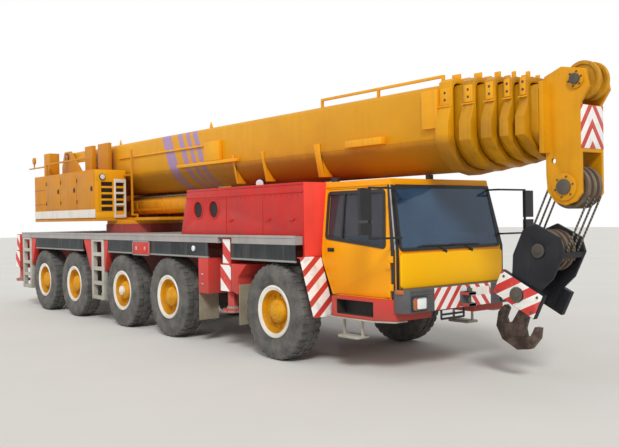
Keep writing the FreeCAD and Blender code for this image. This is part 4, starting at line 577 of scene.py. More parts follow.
def outline(bm, corners, rounded, segments=5):
    """A flat face from its corners, each corner rounded."""
    verts = [bm.verts.new(c) for c in corners]
    others = set(bm.faces)
    face = bm.faces.new(verts)
    if rounded:
        bmesh.ops.bevel(
            bm, geom=verts, offset=rounded, segments=segments, profile=0.5, affect="VERTICES", material=-1
        )
        face = [f for f in bm.faces if f not in others][0]
    face.normal_update()
    return face


def panel(bm, corners, thick, rounded=0.0):
    """A flat panel, thickened along its normal."""
    face = outline(bm, corners, rounded)
    normal = face.normal.copy()
    grown = bmesh.ops.extrude_face_region(bm, geom=[face])["geom"]
    bmesh.ops.translate(bm, vec=normal * thick, verts=[v for v in grown if isinstance(v, bmesh.types.BMVert)])
    return normal


def ring_panel(bm, corners, width, thick, rounded=0.0):
    """A flat frame: a panel's outline with its middle left open."""
    face = outline(bm, corners, rounded)
    normal = face.normal.copy()
    rim = bmesh.ops.inset_individual(bm, faces=[face], thickness=width, use_even_offset=True)["faces"]
    bmesh.ops.delete(bm, geom=[face], context="FACES_ONLY")
    grown = bmesh.ops.extrude_face_region(bm, geom=rim)["geom"]
    bmesh.ops.translate(bm, vec=normal * thick, verts=[v for v in grown if isinstance(v, bmesh.types.BMVert)])
    return normal


# Tinted laminated glass: blue-grey, sharp reflections, the interior showing darkly through it.
glass, tree, shader = material("tinted_laminated_glass")
shader.inputs["Base Color"].default_value = linear("#5E7696")
shader.inputs["Roughness"].default_value = 0.03
shader.inputs["IOR"].default_value = 1.52
place = add(tree, "ShaderNodeTexCoord").outputs["Object"]
film = add(tree, "ShaderNodeTexNoise", {"Vector": place, "Scale": 2.6, "Detail": 3.0})
tint = add(tree, "ShaderNodeMix", {0: film.outputs[0], "A": linear("#26405E"), "B": linear("#40607E")}, data_type="RGBA")
tree.links.new(tint.outputs["Result"], shader.inputs["Base Color"])
cover = add(tree, "ShaderNodeMapRange", {"Value": film.outputs[0], "To Min": 0.72, "To Max": 0.82})
tree.links.new(cover.outputs[0], shader.inputs["Alpha"])
glass.surface_render_method = "BLENDED"
# Extruded rubber glazing strip: matt black with a dusty bloom.
seal, tree, shader = material("extruded_glazing_rubber")
place = add(tree, "ShaderNodeTexCoord").outputs["Object"]
bloom = add(tree, "ShaderNodeTexNoise", {"Vector": place, "Scale": 14.0, "Detail": 5.0})
black = add(tree, "ShaderNodeMix", {0: bloom.outputs[0], "A": linear("#141416"), "B": linear("#2A2A2C")}, data_type="RGBA")
tree.links.new(black.outputs["Result"], shader.inputs["Base Color"])
shader.inputs["Roughness"].default_value = 0.62

# windscreen and its rubber frame; the black pillars beside it with their pale edge strips
bm = bmesh.new()
low, high = 1.560, 2.325
panel(bm, [(front_at(low, 0.002), -0.935, low), (front_at(low, 0.002), 0.935, low), (front_at(high, 0.002), 0.885, high), (front_at(high, 0.002), -0.885, high)], 0.006, 0.05)
piece("windscreen", bm, glass, "carrier")
bm = bmesh.new()
low, high = 1.532, 2.352
ring_panel(bm, [(front_at(low, 0.003), -0.962, low), (front_at(low, 0.003), 0.962, low), (front_at(high, 0.003), 0.912, high), (front_at(high, 0.003), -0.912, high)], 0.042, 0.012, 0.07)
piece("windscreen_seal", bm, seal, "carrier")
bm = bmesh.new()
edge = bmesh.new()
for s in (-1, 1):
    for z0, z1, x0, x1 in ((0.955, CAB_BELT, 2.002, 2.002), (CAB_BELT, 2.350, 1.998, 1.868)):
        wall0, wall1 = side_at(z0, 0.0015) * s, side_at(z1, 0.0015) * s
        corners = [
            (FRONT_AXLE + x0, wall0, z0), (min(front_at(z0), CAB_FRONT) - 0.012, wall0, z0),
            (min(front_at(z1), CAB_FRONT) - 0.012, wall1, z1), (FRONT_AXLE + x1, wall1, z1),
        ]
        if s > 0:
            corners.reverse()
        panel(bm, corners, 0.004)
        face0, face1 = front_at(z0, 0.0015), front_at(z1, 0.0015)
        if z0 < CAB_BELT:
            face0 = face1 = CAB_FRONT + 0.0015
        wide0, wide1 = side_at(z0, -0.003), side_at(z1, -0.003)
        corners = [(face0, s * wide0, z0), (face0, s * (wide0 - 0.048), z0), (face1, s * (wide1 - 0.048), z1), (face1, s * wide1, z1)]
        if s < 0:
            panel(bm, corners, 0.004)
        else:
            panel(bm, corners[::-1], 0.004)
    rod(edge, (front_at(CAB_BELT) - 0.010, s * side_at(CAB_BELT, -0.004), CAB_BELT + 0.01), (front_at(2.345) - 0.010, s * side_at(2.345, -0.004), 2.345), 0.011, 8)
piece("pillar_covers", bm, seal, "carrier")
piece("pillar_edge_strips", edge, band_grey, "carrier")

# front panel: a shallow pressing with rounded lower corners, and a swage under the screen
bm = bmesh.new()
panel(bm, [(CAB_FRONT + 0.001, -0.966, 1.505), (CAB_FRONT + 0.001, -0.966, 1.078), (CAB_FRONT + 0.001, 0.966, 1.078), (CAB_FRONT + 0.001, 0.966, 1.505)], 0.034, 0.055)
front_panel = piece("front_panel", bm, lit_front_yellow, "carrier", ease=0.014, segments=3)
bm = bmesh.new()
block(bm, (CAB_FRONT - 0.01, CAB_FRONT + 0.004), (-1.0, 1.0), (0.99, 1.085))
piece("front_panel_shadow_gap", bm, seal, "carrier", ease=0.002)
bm = bmesh.new()
for y0, lean in ((-0.16, -0.28), (0.34, 0.22)):
    pivot = Vector((CAB_FRONT + 0.030, y0, 1.512))
    elbow = Vector((front_at(1.60, 0.030), lean, 1.592))
    rod(bm, pivot - Vector((0.03, 0, 0)), pivot + Vector((0.012, 0, 0)), 0.020, 12)
    rod(bm, pivot, elbow, 0.009, 8, 0.006)
    rod(bm, elbow, elbow + Vector((-0.004, -0.30, 0.004)), 0.007, 8)
    rod(bm, elbow, elbow + Vector((0.0, 0.26, -0.004)), 0.007, 8)
    block(bm, (elbow.x - 0.018, elbow.x - 0.004), (elbow.y - 0.36, elbow.y + 0.30), (1.578, 1.590))
piece("wipers", bm, seal, "carrier")

# door windows in their rubber, each with a sliding-pane bar; handles and hinge covers
side_glass, tree, shader = material("shadowed_side_glass")
# The same laminated glass over the dark inside of the cab: deep blue-grey with a faint film.
place = add(tree, "ShaderNodeTexCoord").outputs["Object"]
film = add(tree, "ShaderNodeTexNoise", {"Vector": place, "Scale": 3.4, "Detail": 3.0})
tint = add(tree, "ShaderNodeMix", {0: film.outputs[0], "A": linear("#1E2834"), "B": linear("#3E4C5C")}, data_type="RGBA")
tree.links.new(tint.outputs["Result"], shader.inputs["Base Color"])
shader.inputs["Roughness"].default_value = 0.04
shader.inputs["Alpha"].default_value = 0.62
side_glass.surface_render_method = "BLENDED"
for s, side in ((-1, "right"), (1, "left")):
    body = "door_" + side

    def wall_point(x, z, out):
        return (FRONT_AXLE + x, s * side_at(z, out), z)

    outer = [(0.752, 2.302), (0.752, 1.672), (1.912, 1.560), (1.838, 2.302)]
    if s > 0:
        outer.reverse()
    bm = bmesh.new()
    panel(bm, [wall_point(x, z, -0.012) for x, z in outer], 0.005, 0.05)
    piece("door_glass_" + side, bm, side_glass, body)
    bm = bmesh.new()
    ring_panel(bm, [wall_point(x, z, 0.001) for x, z in outer], 0.046, 0.010, 0.06)
    block(bm, (FRONT_AXLE + 1.075, FRONT_AXLE + 1.105), (s * side_at(1.70, -0.004), s * side_at(1.70, 0.010)), (1.66, 1.80))
    rod(bm, wall_point(1.090, 1.66, 0.004), wall_point(1.090, 2.29, 0.004), 0.016, 6)
    piece("door_seal_" + side, bm, seal, body)
    bm = bmesh.new()
    block(bm, (FRONT_AXLE + 0.815, FRONT_AXLE + 0.945), (s * side_at(1.54, 0.0), s * side_at(1.54, 0.008)), (1.508, 1.560))
    block(bm, (FRONT_AXLE + 0.830, FRONT_AXLE + 0.930), (s * side_at(1.54, 0.008), s * side_at(1.54, 0.026)), (1.530, 1.548))
    piece("door_handle_" + side, bm, seal, body, ease=0.004)
    bm = bmesh.new()
    block(bm, (FRONT_AXLE + 0.700, FRONT_AXLE + 1.890), (s * side_at(2.37, -0.010), s * side_at(2.37, 0.016)), (2.352, 2.374))
    piece("rain_gutter_" + side, bm, cab_yellow, "carrier", ease=0.005)

# Cab interior: woven seat covers, a moulded dashboard, the steering wheel; all rather dark.
moulded, tree, shader = material("moulded_grey_dash")
place = add(tree, "ShaderNodeTexCoord").outputs["Object"]
GRAIN = 0.003  # leather grain of the moulding, drawn as coarse as shows
grain = add(tree, "ShaderNodeTexVoronoi", {"Vector": place, "Scale": 1.0 / GRAIN})
skin = add(tree, "ShaderNodeBump", {"Height": grain.outputs[0], "Strength": 0.3, "Distance": 0.001})
wipe = add(tree, "ShaderNodeTexNoise", {"Vector": place, "Scale": 4.0, "Detail": 4.0})
grey = add(tree, "ShaderNodeMix", {0: wipe.outputs[0], "A": linear("#33302C"), "B": linear("#55493A")}, data_type="RGBA")
tree.links.new(grey.outputs["Result"], shader.inputs["Base Color"])
tree.links.new(skin.outputs[0], shader.inputs["Normal"])
shader.inputs["Roughness"].default_value = 0.6
cloth, tree, shader = material("woven_seat_cloth")
# Coarse woven cover: dark blue-grey threads that break up the light.
place = add(tree, "ShaderNodeTexCoord").outputs["Object"]
THREAD = 0.006
warp = add(tree, "ShaderNodeTexChecker", {"Vector": place, "Scale": 1.0 / THREAD})
blue = add(tree, "ShaderNodeMix", {0: warp.outputs[1], "A": linear("#2C3440"), "B": linear("#3E4854")}, data_type="RGBA")
tree.links.new(blue.outputs["Result"], shader.inputs["Base Color"])
weave = add(tree, "ShaderNodeBump", {"Height": warp.outputs[1], "Strength": 0.4, "Distance": 0.001})
tree.links.new(weave.outputs[0], shader.inputs["Normal"])
shader.inputs["Roughness"].default_value = 0.95
shader.inputs["Sheen Weight"].default_value = 0.3
remade("crew_seats_and_dash", "cab_fittings", "carrier", [
    (moulded, None, None),
    (cloth, (FRONT_AXLE + 0.9, -1.0, 0.9), (FRONT_AXLE + 1.6, 1.0, 2.0)),
], ease=0.035, segments=3)
bm = bmesh.new()
hub = Vector((FRONT_AXLE + 1.640, -0.520, 1.560))
tilt = Matrix.Translation(hub) @ Matrix.Rotation(math.radians(-35), 4, "Y")
wheel = bmesh.new()
verts = [wheel.verts.new((0.225 + 0.014 * math.cos(a), 0.0, 0.014 * math.sin(a))) for a in [math.pi * k / 4 for k in range(8)]]
loop = [wheel.edges.new((verts[k], verts[(k + 1) % 8])) for k in range(8)]
bmesh.ops.spin(wheel, geom=verts + loop, cent=(0, 0, 0), axis=(0, 0, 1), angle=2 * math.pi, steps=40, use_merge=True)
bmesh.ops.remove_doubles(wheel, verts=wheel.verts, dist=0.0001)
for a in (0.5, 2.6, 4.7):
    rod(wheel, (0, 0, -0.03), (0.22 * math.cos(a), 0.22 * math.sin(a), 0), 0.011, 6)
rod(wheel, (0, 0, -0.30), (0, 0, 0.0), 0.030, 12)
bmesh.ops.transform(wheel, matrix=tilt, verts=wheel.verts)
bm.free()
piece("steering_wheel", wheel, seal, "carrier")

# Mirrors, roof lamp and beacon: black moulded backs, silvered glass in front, on painted tube arms.
remade("mirror_backs", "cab_trim", "carrier", everywhere(seal))
silvered, tree, shader = material("silvered_mirror_glass")
# Silvered glass: nearly a perfect reflector under a thin film of dust.
place = add(tree, "ShaderNodeTexCoord").outputs["Object"]
film = add(tree, "ShaderNodeTexNoise", {"Vector": place, "Scale": 20.0, "Detail": 5.0})
dusty = add(tree, "ShaderNodeMapRange", {"Value": film.outputs[0], "To Min": 0.04, "To Max": 0.22})
tree.links.new(dusty.outputs[0], shader.inputs["Roughness"])
shader.inputs["Base Color"].default_value = linear("#C8CED2")
shader.inputs["Metallic"].default_value = 1.0
bm = bmesh.new()
back = FRONT_AXLE + 2.0945
for s in (-1, 1):
    for half, z0, z1 in ((0.078, 1.932, 2.278), (0.078, 1.762, 1.878)):
        corners = [(back, s * 1.5525 - half, z0), (back, s * 1.5525 + half, z0), (back, s * 1.5525 + half, z1), (back, s * 1.5525 - half, z1)]
        corners.reverse()
        panel(bm, corners, 0.004, 0.02)
piece("mirror_glass", bm, silvered, "carrier")

# Bumper: a folded steel box in satin grey with ribbed lamp housings at both ends.
# Between them the face is set back and carries the rolled-on warning chevron.
# The red coupling jaw is welded to it, and a tube step hangs below.
bumper_grey = enamel("satin_grey_bumper", "#505054", "#5E5E60", "#6E665C", 1.0, gloss=0.45, patch=3.0)
remade("bumper_box", "bumper", "carrier", everywhere(bumper_grey), ease=0.010)
BUMPER_FRONT = FRONT_AXLE + 2.270
bm = bmesh.new()
for s in (-1, 1):
    for k in range(7):
        z = 0.825 + k * 0.037
        block(bm, (BUMPER_FRONT - 0.004, BUMPER_FRONT + 0.006), (s * 0.565, s * 0.976), (z, z + 0.017))
piece("bumper_ribs", bm, bumper_grey, "carrier", ease=0.003)
chevron, tree, shader = material("bumper_warning_chevron")
# White enamel with red bands rolled on, meeting in a point at the middle; chipped by stones.
place = add(tree, "ShaderNodeTexCoord").outputs["Object"]
split = add(tree, "ShaderNodeSeparateXYZ", {0: place})
out = add(tree, "ShaderNodeMath", {0: split.outputs["Y"]}, operation="ABSOLUTE")
LEAN, PITCH, RED_SHARE = 0.83, 0.185, 0.42
climb = add(tree, "ShaderNodeMath", {0: split.outputs["Z"], 1: LEAN, 2: out.outputs[0]}, operation="MULTIPLY_ADD")
turn = add(tree, "ShaderNodeMath", {0: climb.outputs[0], 1: PITCH}, operation="FLOORED_MODULO")
band = add(tree, "ShaderNodeMath", {0: turn.outputs[0], 1: PITCH * RED_SHARE}, operation="LESS_THAN")
paint = add(tree, "ShaderNodeMix", {0: band.outputs[0], "A": linear("#F6F2EE"), "B": linear("#CC3A34")}, data_type="RGBA")
chips = add(tree, "ShaderNodeTexNoise", {"Vector": place, "Scale": 30.0, "Detail": 5.0})
chip = add(tree, "ShaderNodeMapRange", {"Value": chips.outputs[0], "From Min": 0.62, "From Max": 0.7, "To Max": 0.35})
worn = add(tree, "ShaderNodeMix", {0: chip.outputs[0], "A": paint.outputs["Result"], "B": linear("#9A8C84")}, data_type="RGBA")
tree.links.new(worn.outputs["Result"], shader.inputs["Base Color"])
shader.inputs["Roughness"].default_value = 0.4
bm = bmesh.new()
block(bm, (BUMPER_FRONT - 0.0198, BUMPER_FRONT - 0.0165), (-0.538, 0.538), (0.804, 1.076))
piece("bumper_chevron", bm, chevron, "carrier")
bm = bmesh.new()
panel(bm, [(BUMPER_FRONT - 0.0160, 0.140, 0.935), (BUMPER_FRONT - 0.0160, 0.500, 0.935), (BUMPER_FRONT - 0.0160, 0.500, 1.035), (BUMPER_FRONT - 0.0160, 0.140, 1.035)], 0.004, 0.008)
piece("blank_front_plate", bm, rim_white, "carrier")
bm = bmesh.new()
jaw = FRONT_AXLE + 2.252
for zs in ((0.817, 0.862), (0.958, 1.003)):
    block(bm, (jaw, FRONT_AXLE + 2.4), (-0.0705, 0.0705), (zs[0] + 0.003, zs[1] - 0.003))
piece("jaw_plates", bm, carrier_red, "carrier", ease=0.006)
bm = bmesh.new()
rod(bm, (BUMPER_FRONT + 0.080, 0, 1.000), (BUMPER_FRONT + 0.080, 0, 1.045), 0.034, 14)
rod(bm, (BUMPER_FRONT + 0.080, 0, 0.800), (BUMPER_FRONT + 0.080, 0, 1.010), 0.021, 14)
rod(bm, (BUMPER_FRONT + 0.080, 0, 1.045), (BUMPER_FRONT + 0.080, 0, 1.075), 0.012, 10)
piece("jaw_pin", bm, cast_dirty, "carrier", ease=0.004)
bm = bmesh.new()
low, step_x = 0.682, BUMPER_FRONT - 0.035
for a, b in (((-0.40, 0.81), (-0.40, low)), ((-0.40, low), (0.02, low)), ((0.02, low), (0.02, 0.81)), ((-0.40, 0.735), (0.02, 0.735))):
    rod(bm, (step_x, a[0], a[1]), (step_x, b[0], b[1]), 0.014, 10)
piece("tube_step", bm, seal, "carrier")
amber_lens, tree, shader = material("amber_indicator_lens")
# Amber moulded lens: saturated and glossy, ribs inside it.
place = add(tree, "ShaderNodeTexCoord").outputs["Object"]
ribs = add(tree, "ShaderNodeTexWave", {"Vector": place, "Scale": 30.0}, bands_direction="Y")
orange = add(tree, "ShaderNodeMix", {0: ribs.outputs[1], "A": linear("#B4561C"), "B": linear("#E0782C")}, data_type="RGBA")
tree.links.new(orange.outputs["Result"], shader.inputs["Base Color"])
shader.inputs["Roughness"].default_value = 0.15
red_lens, tree, shader = material("red_tail_lens")
# Red moulded lens: deep and glossy, with the same ribs.
place = add(tree, "ShaderNodeTexCoord").outputs["Object"]
ribs = add(tree, "ShaderNodeTexWave", {"Vector": place, "Scale": 30.0}, bands_direction="Y")
deep = add(tree, "ShaderNodeMix", {0: ribs.outputs[1], "A": linear("#8A0E10"), "B": linear("#C42420")}, data_type="RGBA")
tree.links.new(deep.outputs["Result"], shader.inputs["Base Color"])
shader.inputs["Roughness"].default_value = 0.12
LAMP_BACK = FRONT_AXLE - 10.000
for s, side in ((-1, "right"), (1, "left")):
    bm = bmesh.new()
    block(bm, (LAMP_BACK - 0.050, LAMP_BACK + 0.001), (s * 0.700, s * 1.130), (1.616, 1.702))
    piece("tail_lamp_case_" + side, bm, seal, "carrier", ease=0.006)
    for y, lens, colour in ((0.800, red_lens, "red"), (0.925, amber_lens, "amber"), (1.045, red_lens, "outer_red")):
        bm = bmesh.new()
        block(bm, (LAMP_BACK - 0.060, LAMP_BACK - 0.045), (s * (y - 0.052), s * (y + 0.052)), (1.628, 1.690))
        piece("tail_lamp_" + colour + "_" + side, bm, lens, "carrier", ease=0.006, segments=3)
chrome, tree, shader = material("chromed_lamp_bezel")
# Chrome plate, lightly dulled by road film.
place = add(tree, "ShaderNodeTexCoord").outputs["Object"]
film = add(tree, "ShaderNodeTexNoise", {"Vector": place, "Scale": 25.0, "Detail": 4.0})
dull = add(tree, "ShaderNodeMapRange", {"Value": film.outputs[0], "To Min": 0.08, "To Max": 0.3})
tree.links.new(dull.outputs[0], shader.inputs["Roughness"])
shader.inputs["Base Color"].default_value = linear("#D4D6D8")
shader.inputs["Metallic"].default_value = 1.0
for s, side in ((-1, "right"), (1, "left")):
    face = BUMPER_FRONT + 0.004
    y0, y1 = sorted((s * 0.715, s * 0.955))
    z0, z1 = 0.835, 0.985
    bm = bmesh.new()
    block(bm, (face - 0.01, face + 0.012), (y0 - 0.012, y1 + 0.012), (z0 - 0.012, z1 + 0.012))
    piece("lamp_well_" + side, bm, seal, "carrier", ease=0.006)
    bm = bmesh.new()
    ring_panel(bm, [(face + 0.012, y0, z0), (face + 0.012, y1, z0), (face + 0.012, y1, z1), (face + 0.012, y0, z1)], 0.012, 0.010, 0.03)
    piece("lamp_bezel_" + side, bm, chrome, "carrier")
    cut = y0 + 0.075 if s < 0 else y1 - 0.075
    bm = bmesh.new()
    panel(bm, [(face + 0.012, y0 + 0.012 if s < 0 else cut, z0 + 0.012), (face + 0.012, cut if s < 0 else y1 - 0.012, z0 + 0.012),
               (face + 0.012, cut if s < 0 else y1 - 0.012, z1 - 0.012), (face + 0.012, y0 + 0.012 if s < 0 else cut, z1 - 0.012)], 0.006, 0.01)
    block(bm, (BUMPER_FRONT - 0.16, BUMPER_FRONT - 0.05), sorted((s * 0.990, s * 1.07)), (1.030, 1.078))
    piece("indicator_" + side, bm, amber_lens, "carrier", ease=0.002)
    bm = bmesh.new()
    panel(bm, [(face + 0.012, cut if s < 0 else y0 + 0.012, z0 + 0.012), (face + 0.012, y1 - 0.012 if s < 0 else cut, z0 + 0.012),
               (face + 0.012, y1 - 0.012 if s < 0 else cut, z1 - 0.012), (face + 0.012, cut if s < 0 else y0 + 0.012, z1 - 0.012)], 0.007, 0.02)
    piece("headlamp_" + side, bm, lens_white, "carrier", ease=0.003)

# Striped plates behind the front tyres: folded sheet, white with red bands rolled on across it.
slant_stripes, tree, shader = material("slanted_plate_stripes")
# White enamel with red bands that rise toward the crane's middle on both sides.
place = add(tree, "ShaderNodeTexCoord").outputs["Object"]
split = add(tree, "ShaderNodeSeparateXYZ", {0: place})
out = add(tree, "ShaderNodeMath", {0: split.outputs["Y"]}, operation="ABSOLUTE")
across = add(tree, "ShaderNodeMath", {0: out.outputs[0], 1: 0.57}, operation="MULTIPLY")
climb = add(tree, "ShaderNodeMath", {0: split.outputs["Z"], 1: 0.82, 2: across.outputs[0]}, operation="MULTIPLY_ADD")
turn = add(tree, "ShaderNodeMath", {0: climb.outputs[0], 1: 0.16}, operation="FLOORED_MODULO")
band = add(tree, "ShaderNodeMath", {0: turn.outputs[0], 1: 0.067}, operation="LESS_THAN")
grime = add(tree, "ShaderNodeTexNoise", {"Vector": place, "Scale": 9.0, "Detail": 5.0})
dull = add(tree, "ShaderNodeMapRange", {"Value": grime.outputs[0], "From Min": 0.5, "From Max": 0.8, "To Max": 0.4})
paint = add(tree, "ShaderNodeMix", {0: band.outputs[0], "A": linear("#F4F0EC"), "B": linear("#C8382E")}, data_type="RGBA")
soiled = add(tree, "ShaderNodeMix", {0: dull.outputs[0], "A": paint.outputs["Result"], "B": linear(ROAD_DIRT)}, data_type="RGBA")
tree.links.new(soiled.outputs["Result"], shader.inputs["Base Color"])
shader.inputs["Roughness"].default_value = 0.42
remade("slanted_plates", "striped_plates", "carrier", everywhere(slant_stripes), ease=0.004)


# Slewing superstructure: the pedestal on the carrier, and the turntable of thick plate above it.
# Its cheeks carry the boom's pivot; all of it is sprayed in the crane's ochre yellow.
# Pins and their keeper plates are added where the boom hangs.
upper_ochre = enamel("superstructure_ochre", "#D28A0E", "#C67E0C", "#8C7440", 0.6, gloss=0.42, patch=1.2)
# A brighter yellow: on the house's front face and on front flanges it is painted light, the sunlit faces drawn lighter
# than the sides.
bright_yellow_and_painted_light = enamel("bright_yellow_with_painted_light", "#F2AC18", "#E89E14", "#9A7430", 0.4, gloss=0.36, patch=1.5)
dress(frame_red_shade_and_dirt, "slew_pedestal")
remade("turntable_plates", "turntable", "superstructure", everywhere(upper_ochre), ease=0.004)
bm = bmesh.new()
for y in (-0.5785, 0.5785):
    for x, z, r in ((-9.150, 3.450, 0.105),):
        rod(bm, (FRONT_AXLE + x, y - 0.008, z), (FRONT_AXLE + x, y + 0.008, z), r, 28)
        for turn in range(6):
            a = math.radians(turn * 60.0)
            place = (FRONT_AXLE + x + 0.082 * math.cos(a), z + 0.082 * math.sin(a))
            rod(bm, (place[0], y - 0.018, place[1]), (place[0], y + 0.018, place[1]), 0.011, 6)
piece("boom_pivot_caps", bm, cast_dirty, "superstructure", ease=0.002)
bolt_ring = bmesh.new()
for k in range(48):
    a = math.radians(k * 7.5)
    x, y = FRONT_AXLE - 6.300 + 0.775 * math.cos(a), 0.775 * math.sin(a)
    rod(bolt_ring, (x, y, 1.8870), (x, y, 1.8902), 0.016, 6)
piece("slewing_ring_bolts", bolt_ring, cast_dirty, "carrier")

# Machinery houses: folded sheet over the winches and pumps, sprayed ochre, with a white band along the foot.
# The right one's front face is drawn brighter, painted light on the face toward the sun, and holds two louvre grids and
# a round lamp.
# Doors stand on the side with seams and recessed handles; the handrail is white tube.
house_white = enamel("white_side_band", "#E4E0D8", "#D8D2C8", "#9C9284", 2.2, gloss=0.45, patch=3.0)
rail_grey = enamel("galvanised_grey_rail", "#8E9092", "#7E8082", "#6C6A64", 1.0, gloss=0.5, patch=6.0)
remade("machinery_sheets", "machinery_housings", "superstructure", [
    (upper_ochre, None, None),
    (house_white, (FRONT_AXLE - 9.0, -1.20, 3.15), (FRONT_AXLE - 6.3, -1.10, 3.40)),
    (house_white, (FRONT_AXLE - 6.08, -0.90, 2.0), (FRONT_AXLE - 6.0, -0.55, 2.9)),
    (rail_grey, (FRONT_AXLE - 5.80, -0.70, 2.0), (FRONT_AXLE - 5.60, -0.55, 3.5)),
], ease=0.004)
HOUSE_FACE, HOUSE_SIDE = FRONT_AXLE - 6.070, 1.250
bm = bmesh.new()
blades = bmesh.new()
frames = bmesh.new()
for y0, y1 in ((-1.118, -0.880), (-0.828, -0.643)):
    for k in range(5):
        z0 = 2.160 + 0.125 * k
        block(bm, (HOUSE_FACE - 0.0398, HOUSE_FACE - 0.034), (y0 + 0.0005, y1 - 0.0005), (z0 + 0.0005, z0 + 0.0795))
        for j in range(3):
            z = z0 + 0.012 + 0.024 * j
            verts = block(blades, (HOUSE_FACE - 0.030, HOUSE_FACE - 0.002), (y0 + 0.001, y1 - 0.001), (z, z + 0.003))
            bmesh.ops.rotate(blades, verts=verts, cent=(HOUSE_FACE - 0.016, 0, z), matrix=Matrix.Rotation(math.radians(35), 3, "Y"))
    edge = [(HOUSE_FACE + 0.0005, y0 - 0.022, 2.135), (HOUSE_FACE + 0.0005, y1 + 0.022, 2.135),
            (HOUSE_FACE + 0.0005, y1 + 0.022, 2.765), (HOUSE_FACE + 0.0005, y0 - 0.022, 2.765)]
    ring_panel(frames, edge, 0.016, 0.005, 0.01)
# The grids' backs and blades are near-black: painted shade inside the louvres.
piece("louvre_backs_painted_shade", bm, recess_shade_black, "superstructure")
piece("louvre_blades", blades, recess_shade_black, "superstructure")
piece("louvre_frames", frames, bright_yellow_and_painted_light, "superstructure")
bm = bmesh.new()
for ys, zs in (
    ((-1.244, -0.594), (2.024, 2.134)), ((-1.244, -0.594), (2.767, 2.984)), ((-1.244, -1.142), (2.134, 2.767)),
    ((-0.857, -0.851), (2.134, 2.767)), ((-0.619, -0.594), (2.134, 2.767)),
):
    block(bm, (HOUSE_FACE - 0.001, HOUSE_FACE + 0.0035), ys, zs)
for k in range(4):
    z = 2.240 + 0.125 * k
    for ys in ((-1.120, -0.879), (-0.829, -0.641)):
        block(bm, (HOUSE_FACE - 0.001, HOUSE_FACE + 0.003), ys, (z + 0.003, z + 0.042))
piece("house_front_sheets", bm, bright_yellow_and_painted_light, "superstructure", ease=0.001)
bm = bmesh.new()
rod(bm, (HOUSE_FACE, -1.100, 2.842), (HOUSE_FACE + 0.030, -1.100, 2.842), 0.062, 28)
piece("house_lamp_body", bm, seal, "superstructure", ease=0.004)
bm = bmesh.new()
rod(bm, (HOUSE_FACE + 0.030, -1.100, 2.842), (HOUSE_FACE + 0.034, -1.100, 2.842), 0.050, 28)
piece("house_lamp_lens", bm, lens_white, "superstructure", ease=0.001)
bm = bmesh.new()
# front, rear along X of each door on the right side
for rear, front in ((-8.700, -7.880), (-7.860, -7.000), (-6.980, -6.120)):
    corners = [(FRONT_AXLE + rear, -HOUSE_SIDE, 2.225), (FRONT_AXLE + front, -HOUSE_SIDE, 2.225),
               (FRONT_AXLE + front, -HOUSE_SIDE, 2.940), (FRONT_AXLE + rear, -HOUSE_SIDE, 2.940)]
    panel(bm, corners, 0.007, 0.03)
piece("house_doors", bm, upper_ochre, "superstructure", ease=0.002)
bm = bmesh.new()
for rear, front in ((-8.700, -7.880), (-7.860, -7.000), (-6.980, -6.120)):
    x = FRONT_AXLE + front - 0.10
    block(bm, (x - 0.045, x + 0.045), (-HOUSE_SIDE - 0.0105, -HOUSE_SIDE - 0.006), (2.56, 2.66))
    block(bm, (x - 0.035, x + 0.035), (-HOUSE_SIDE - 0.024, -HOUSE_SIDE - 0.010), (2.60, 2.618))
    for z in (2.36, 2.80):
        hinge_x = FRONT_AXLE + rear + 0.018
        rod(bm, (hinge_x, -HOUSE_SIDE - 0.010, z - 0.04), (hinge_x, -HOUSE_SIDE - 0.010, z + 0.04), 0.009, 10)
piece("house_door_fittings", bm, seal, "superstructure", ease=0.001)
bm = bmesh.new()
for s in (-1, 1):
    block(bm, (FRONT_AXLE - 9.400, HOUSE_FACE - 0.002), (s * (HOUSE_SIDE - 0.001), s * (HOUSE_SIDE + 0.0028)), (2.030, 2.195))
piece("white_bands", bm, house_white, "superstructure")

# Counterweight: cast slabs stacked behind the houses, sprayed ochre, with dark joints between the slabs.
# Two lifting eyes stand on its top.
remade("counterweight_slabs", "counterweight", "superstructure", everywhere(upper_ochre), ease=0.012)
bm = bmesh.new()
for z in (2.345, 2.668):
    block(bm, (FRONT_AXLE - 9.553, FRONT_AXLE - 9.549), (-1.125, 1.125), (z, z + 0.008))
    for s in (-1, 1):
        block(bm, (FRONT_AXLE - 9.425, FRONT_AXLE - 8.760), (s * 1.249, s * 1.2525), (z, z + 0.008))
piece("slab_joints", bm, seal, "superstructure")
bm = bmesh.new()
for s in (-1, 1):
    x = FRONT_AXLE - 9.15
    block(bm, (x - 0.05, x + 0.05), (s * 0.92 - 0.012, s * 0.92 + 0.012), (2.9895, 3.060))
    rod(bm, (x, s * 0.92 - 0.020, 3.055), (x, s * 0.92 + 0.020, 3.055), 0.045, 20)
piece("lifting_eyes", bm, cast_dirty, "superstructure", ease=0.003)

# Operator's cab: a sheet-steel box left of the boom in the same yellow, with large panes in rubber seals.
# Inside is a cloth seat; a wiper lies on the front pane.
op_yellow = enamel("operator_cab_yellow", "#ECA01C", "#E0941A", "#94783C", 0.6, gloss=0.36, patch=1.4)
remade("operator_cab_sheets", "operator_cab", "superstructure", everywhere(op_yellow), ease=0.004)
remade("operator_door_sheet", "operator_door", "operator_door", everywhere(op_yellow), ease=0.003)
remade("operator_seat_cushions", "operator_seat", "superstructure", everywhere(cloth), ease=0.018)
OP_LEAN = 0.250 / 0.780  # the front pane's slope, back for each metre of height


def op_front(z, out):
    """A point's X on the sloping front, or a distance outside it."""
    return FRONT_AXLE - 5.050 - max(0.0, z - 2.700) * OP_LEAN + out


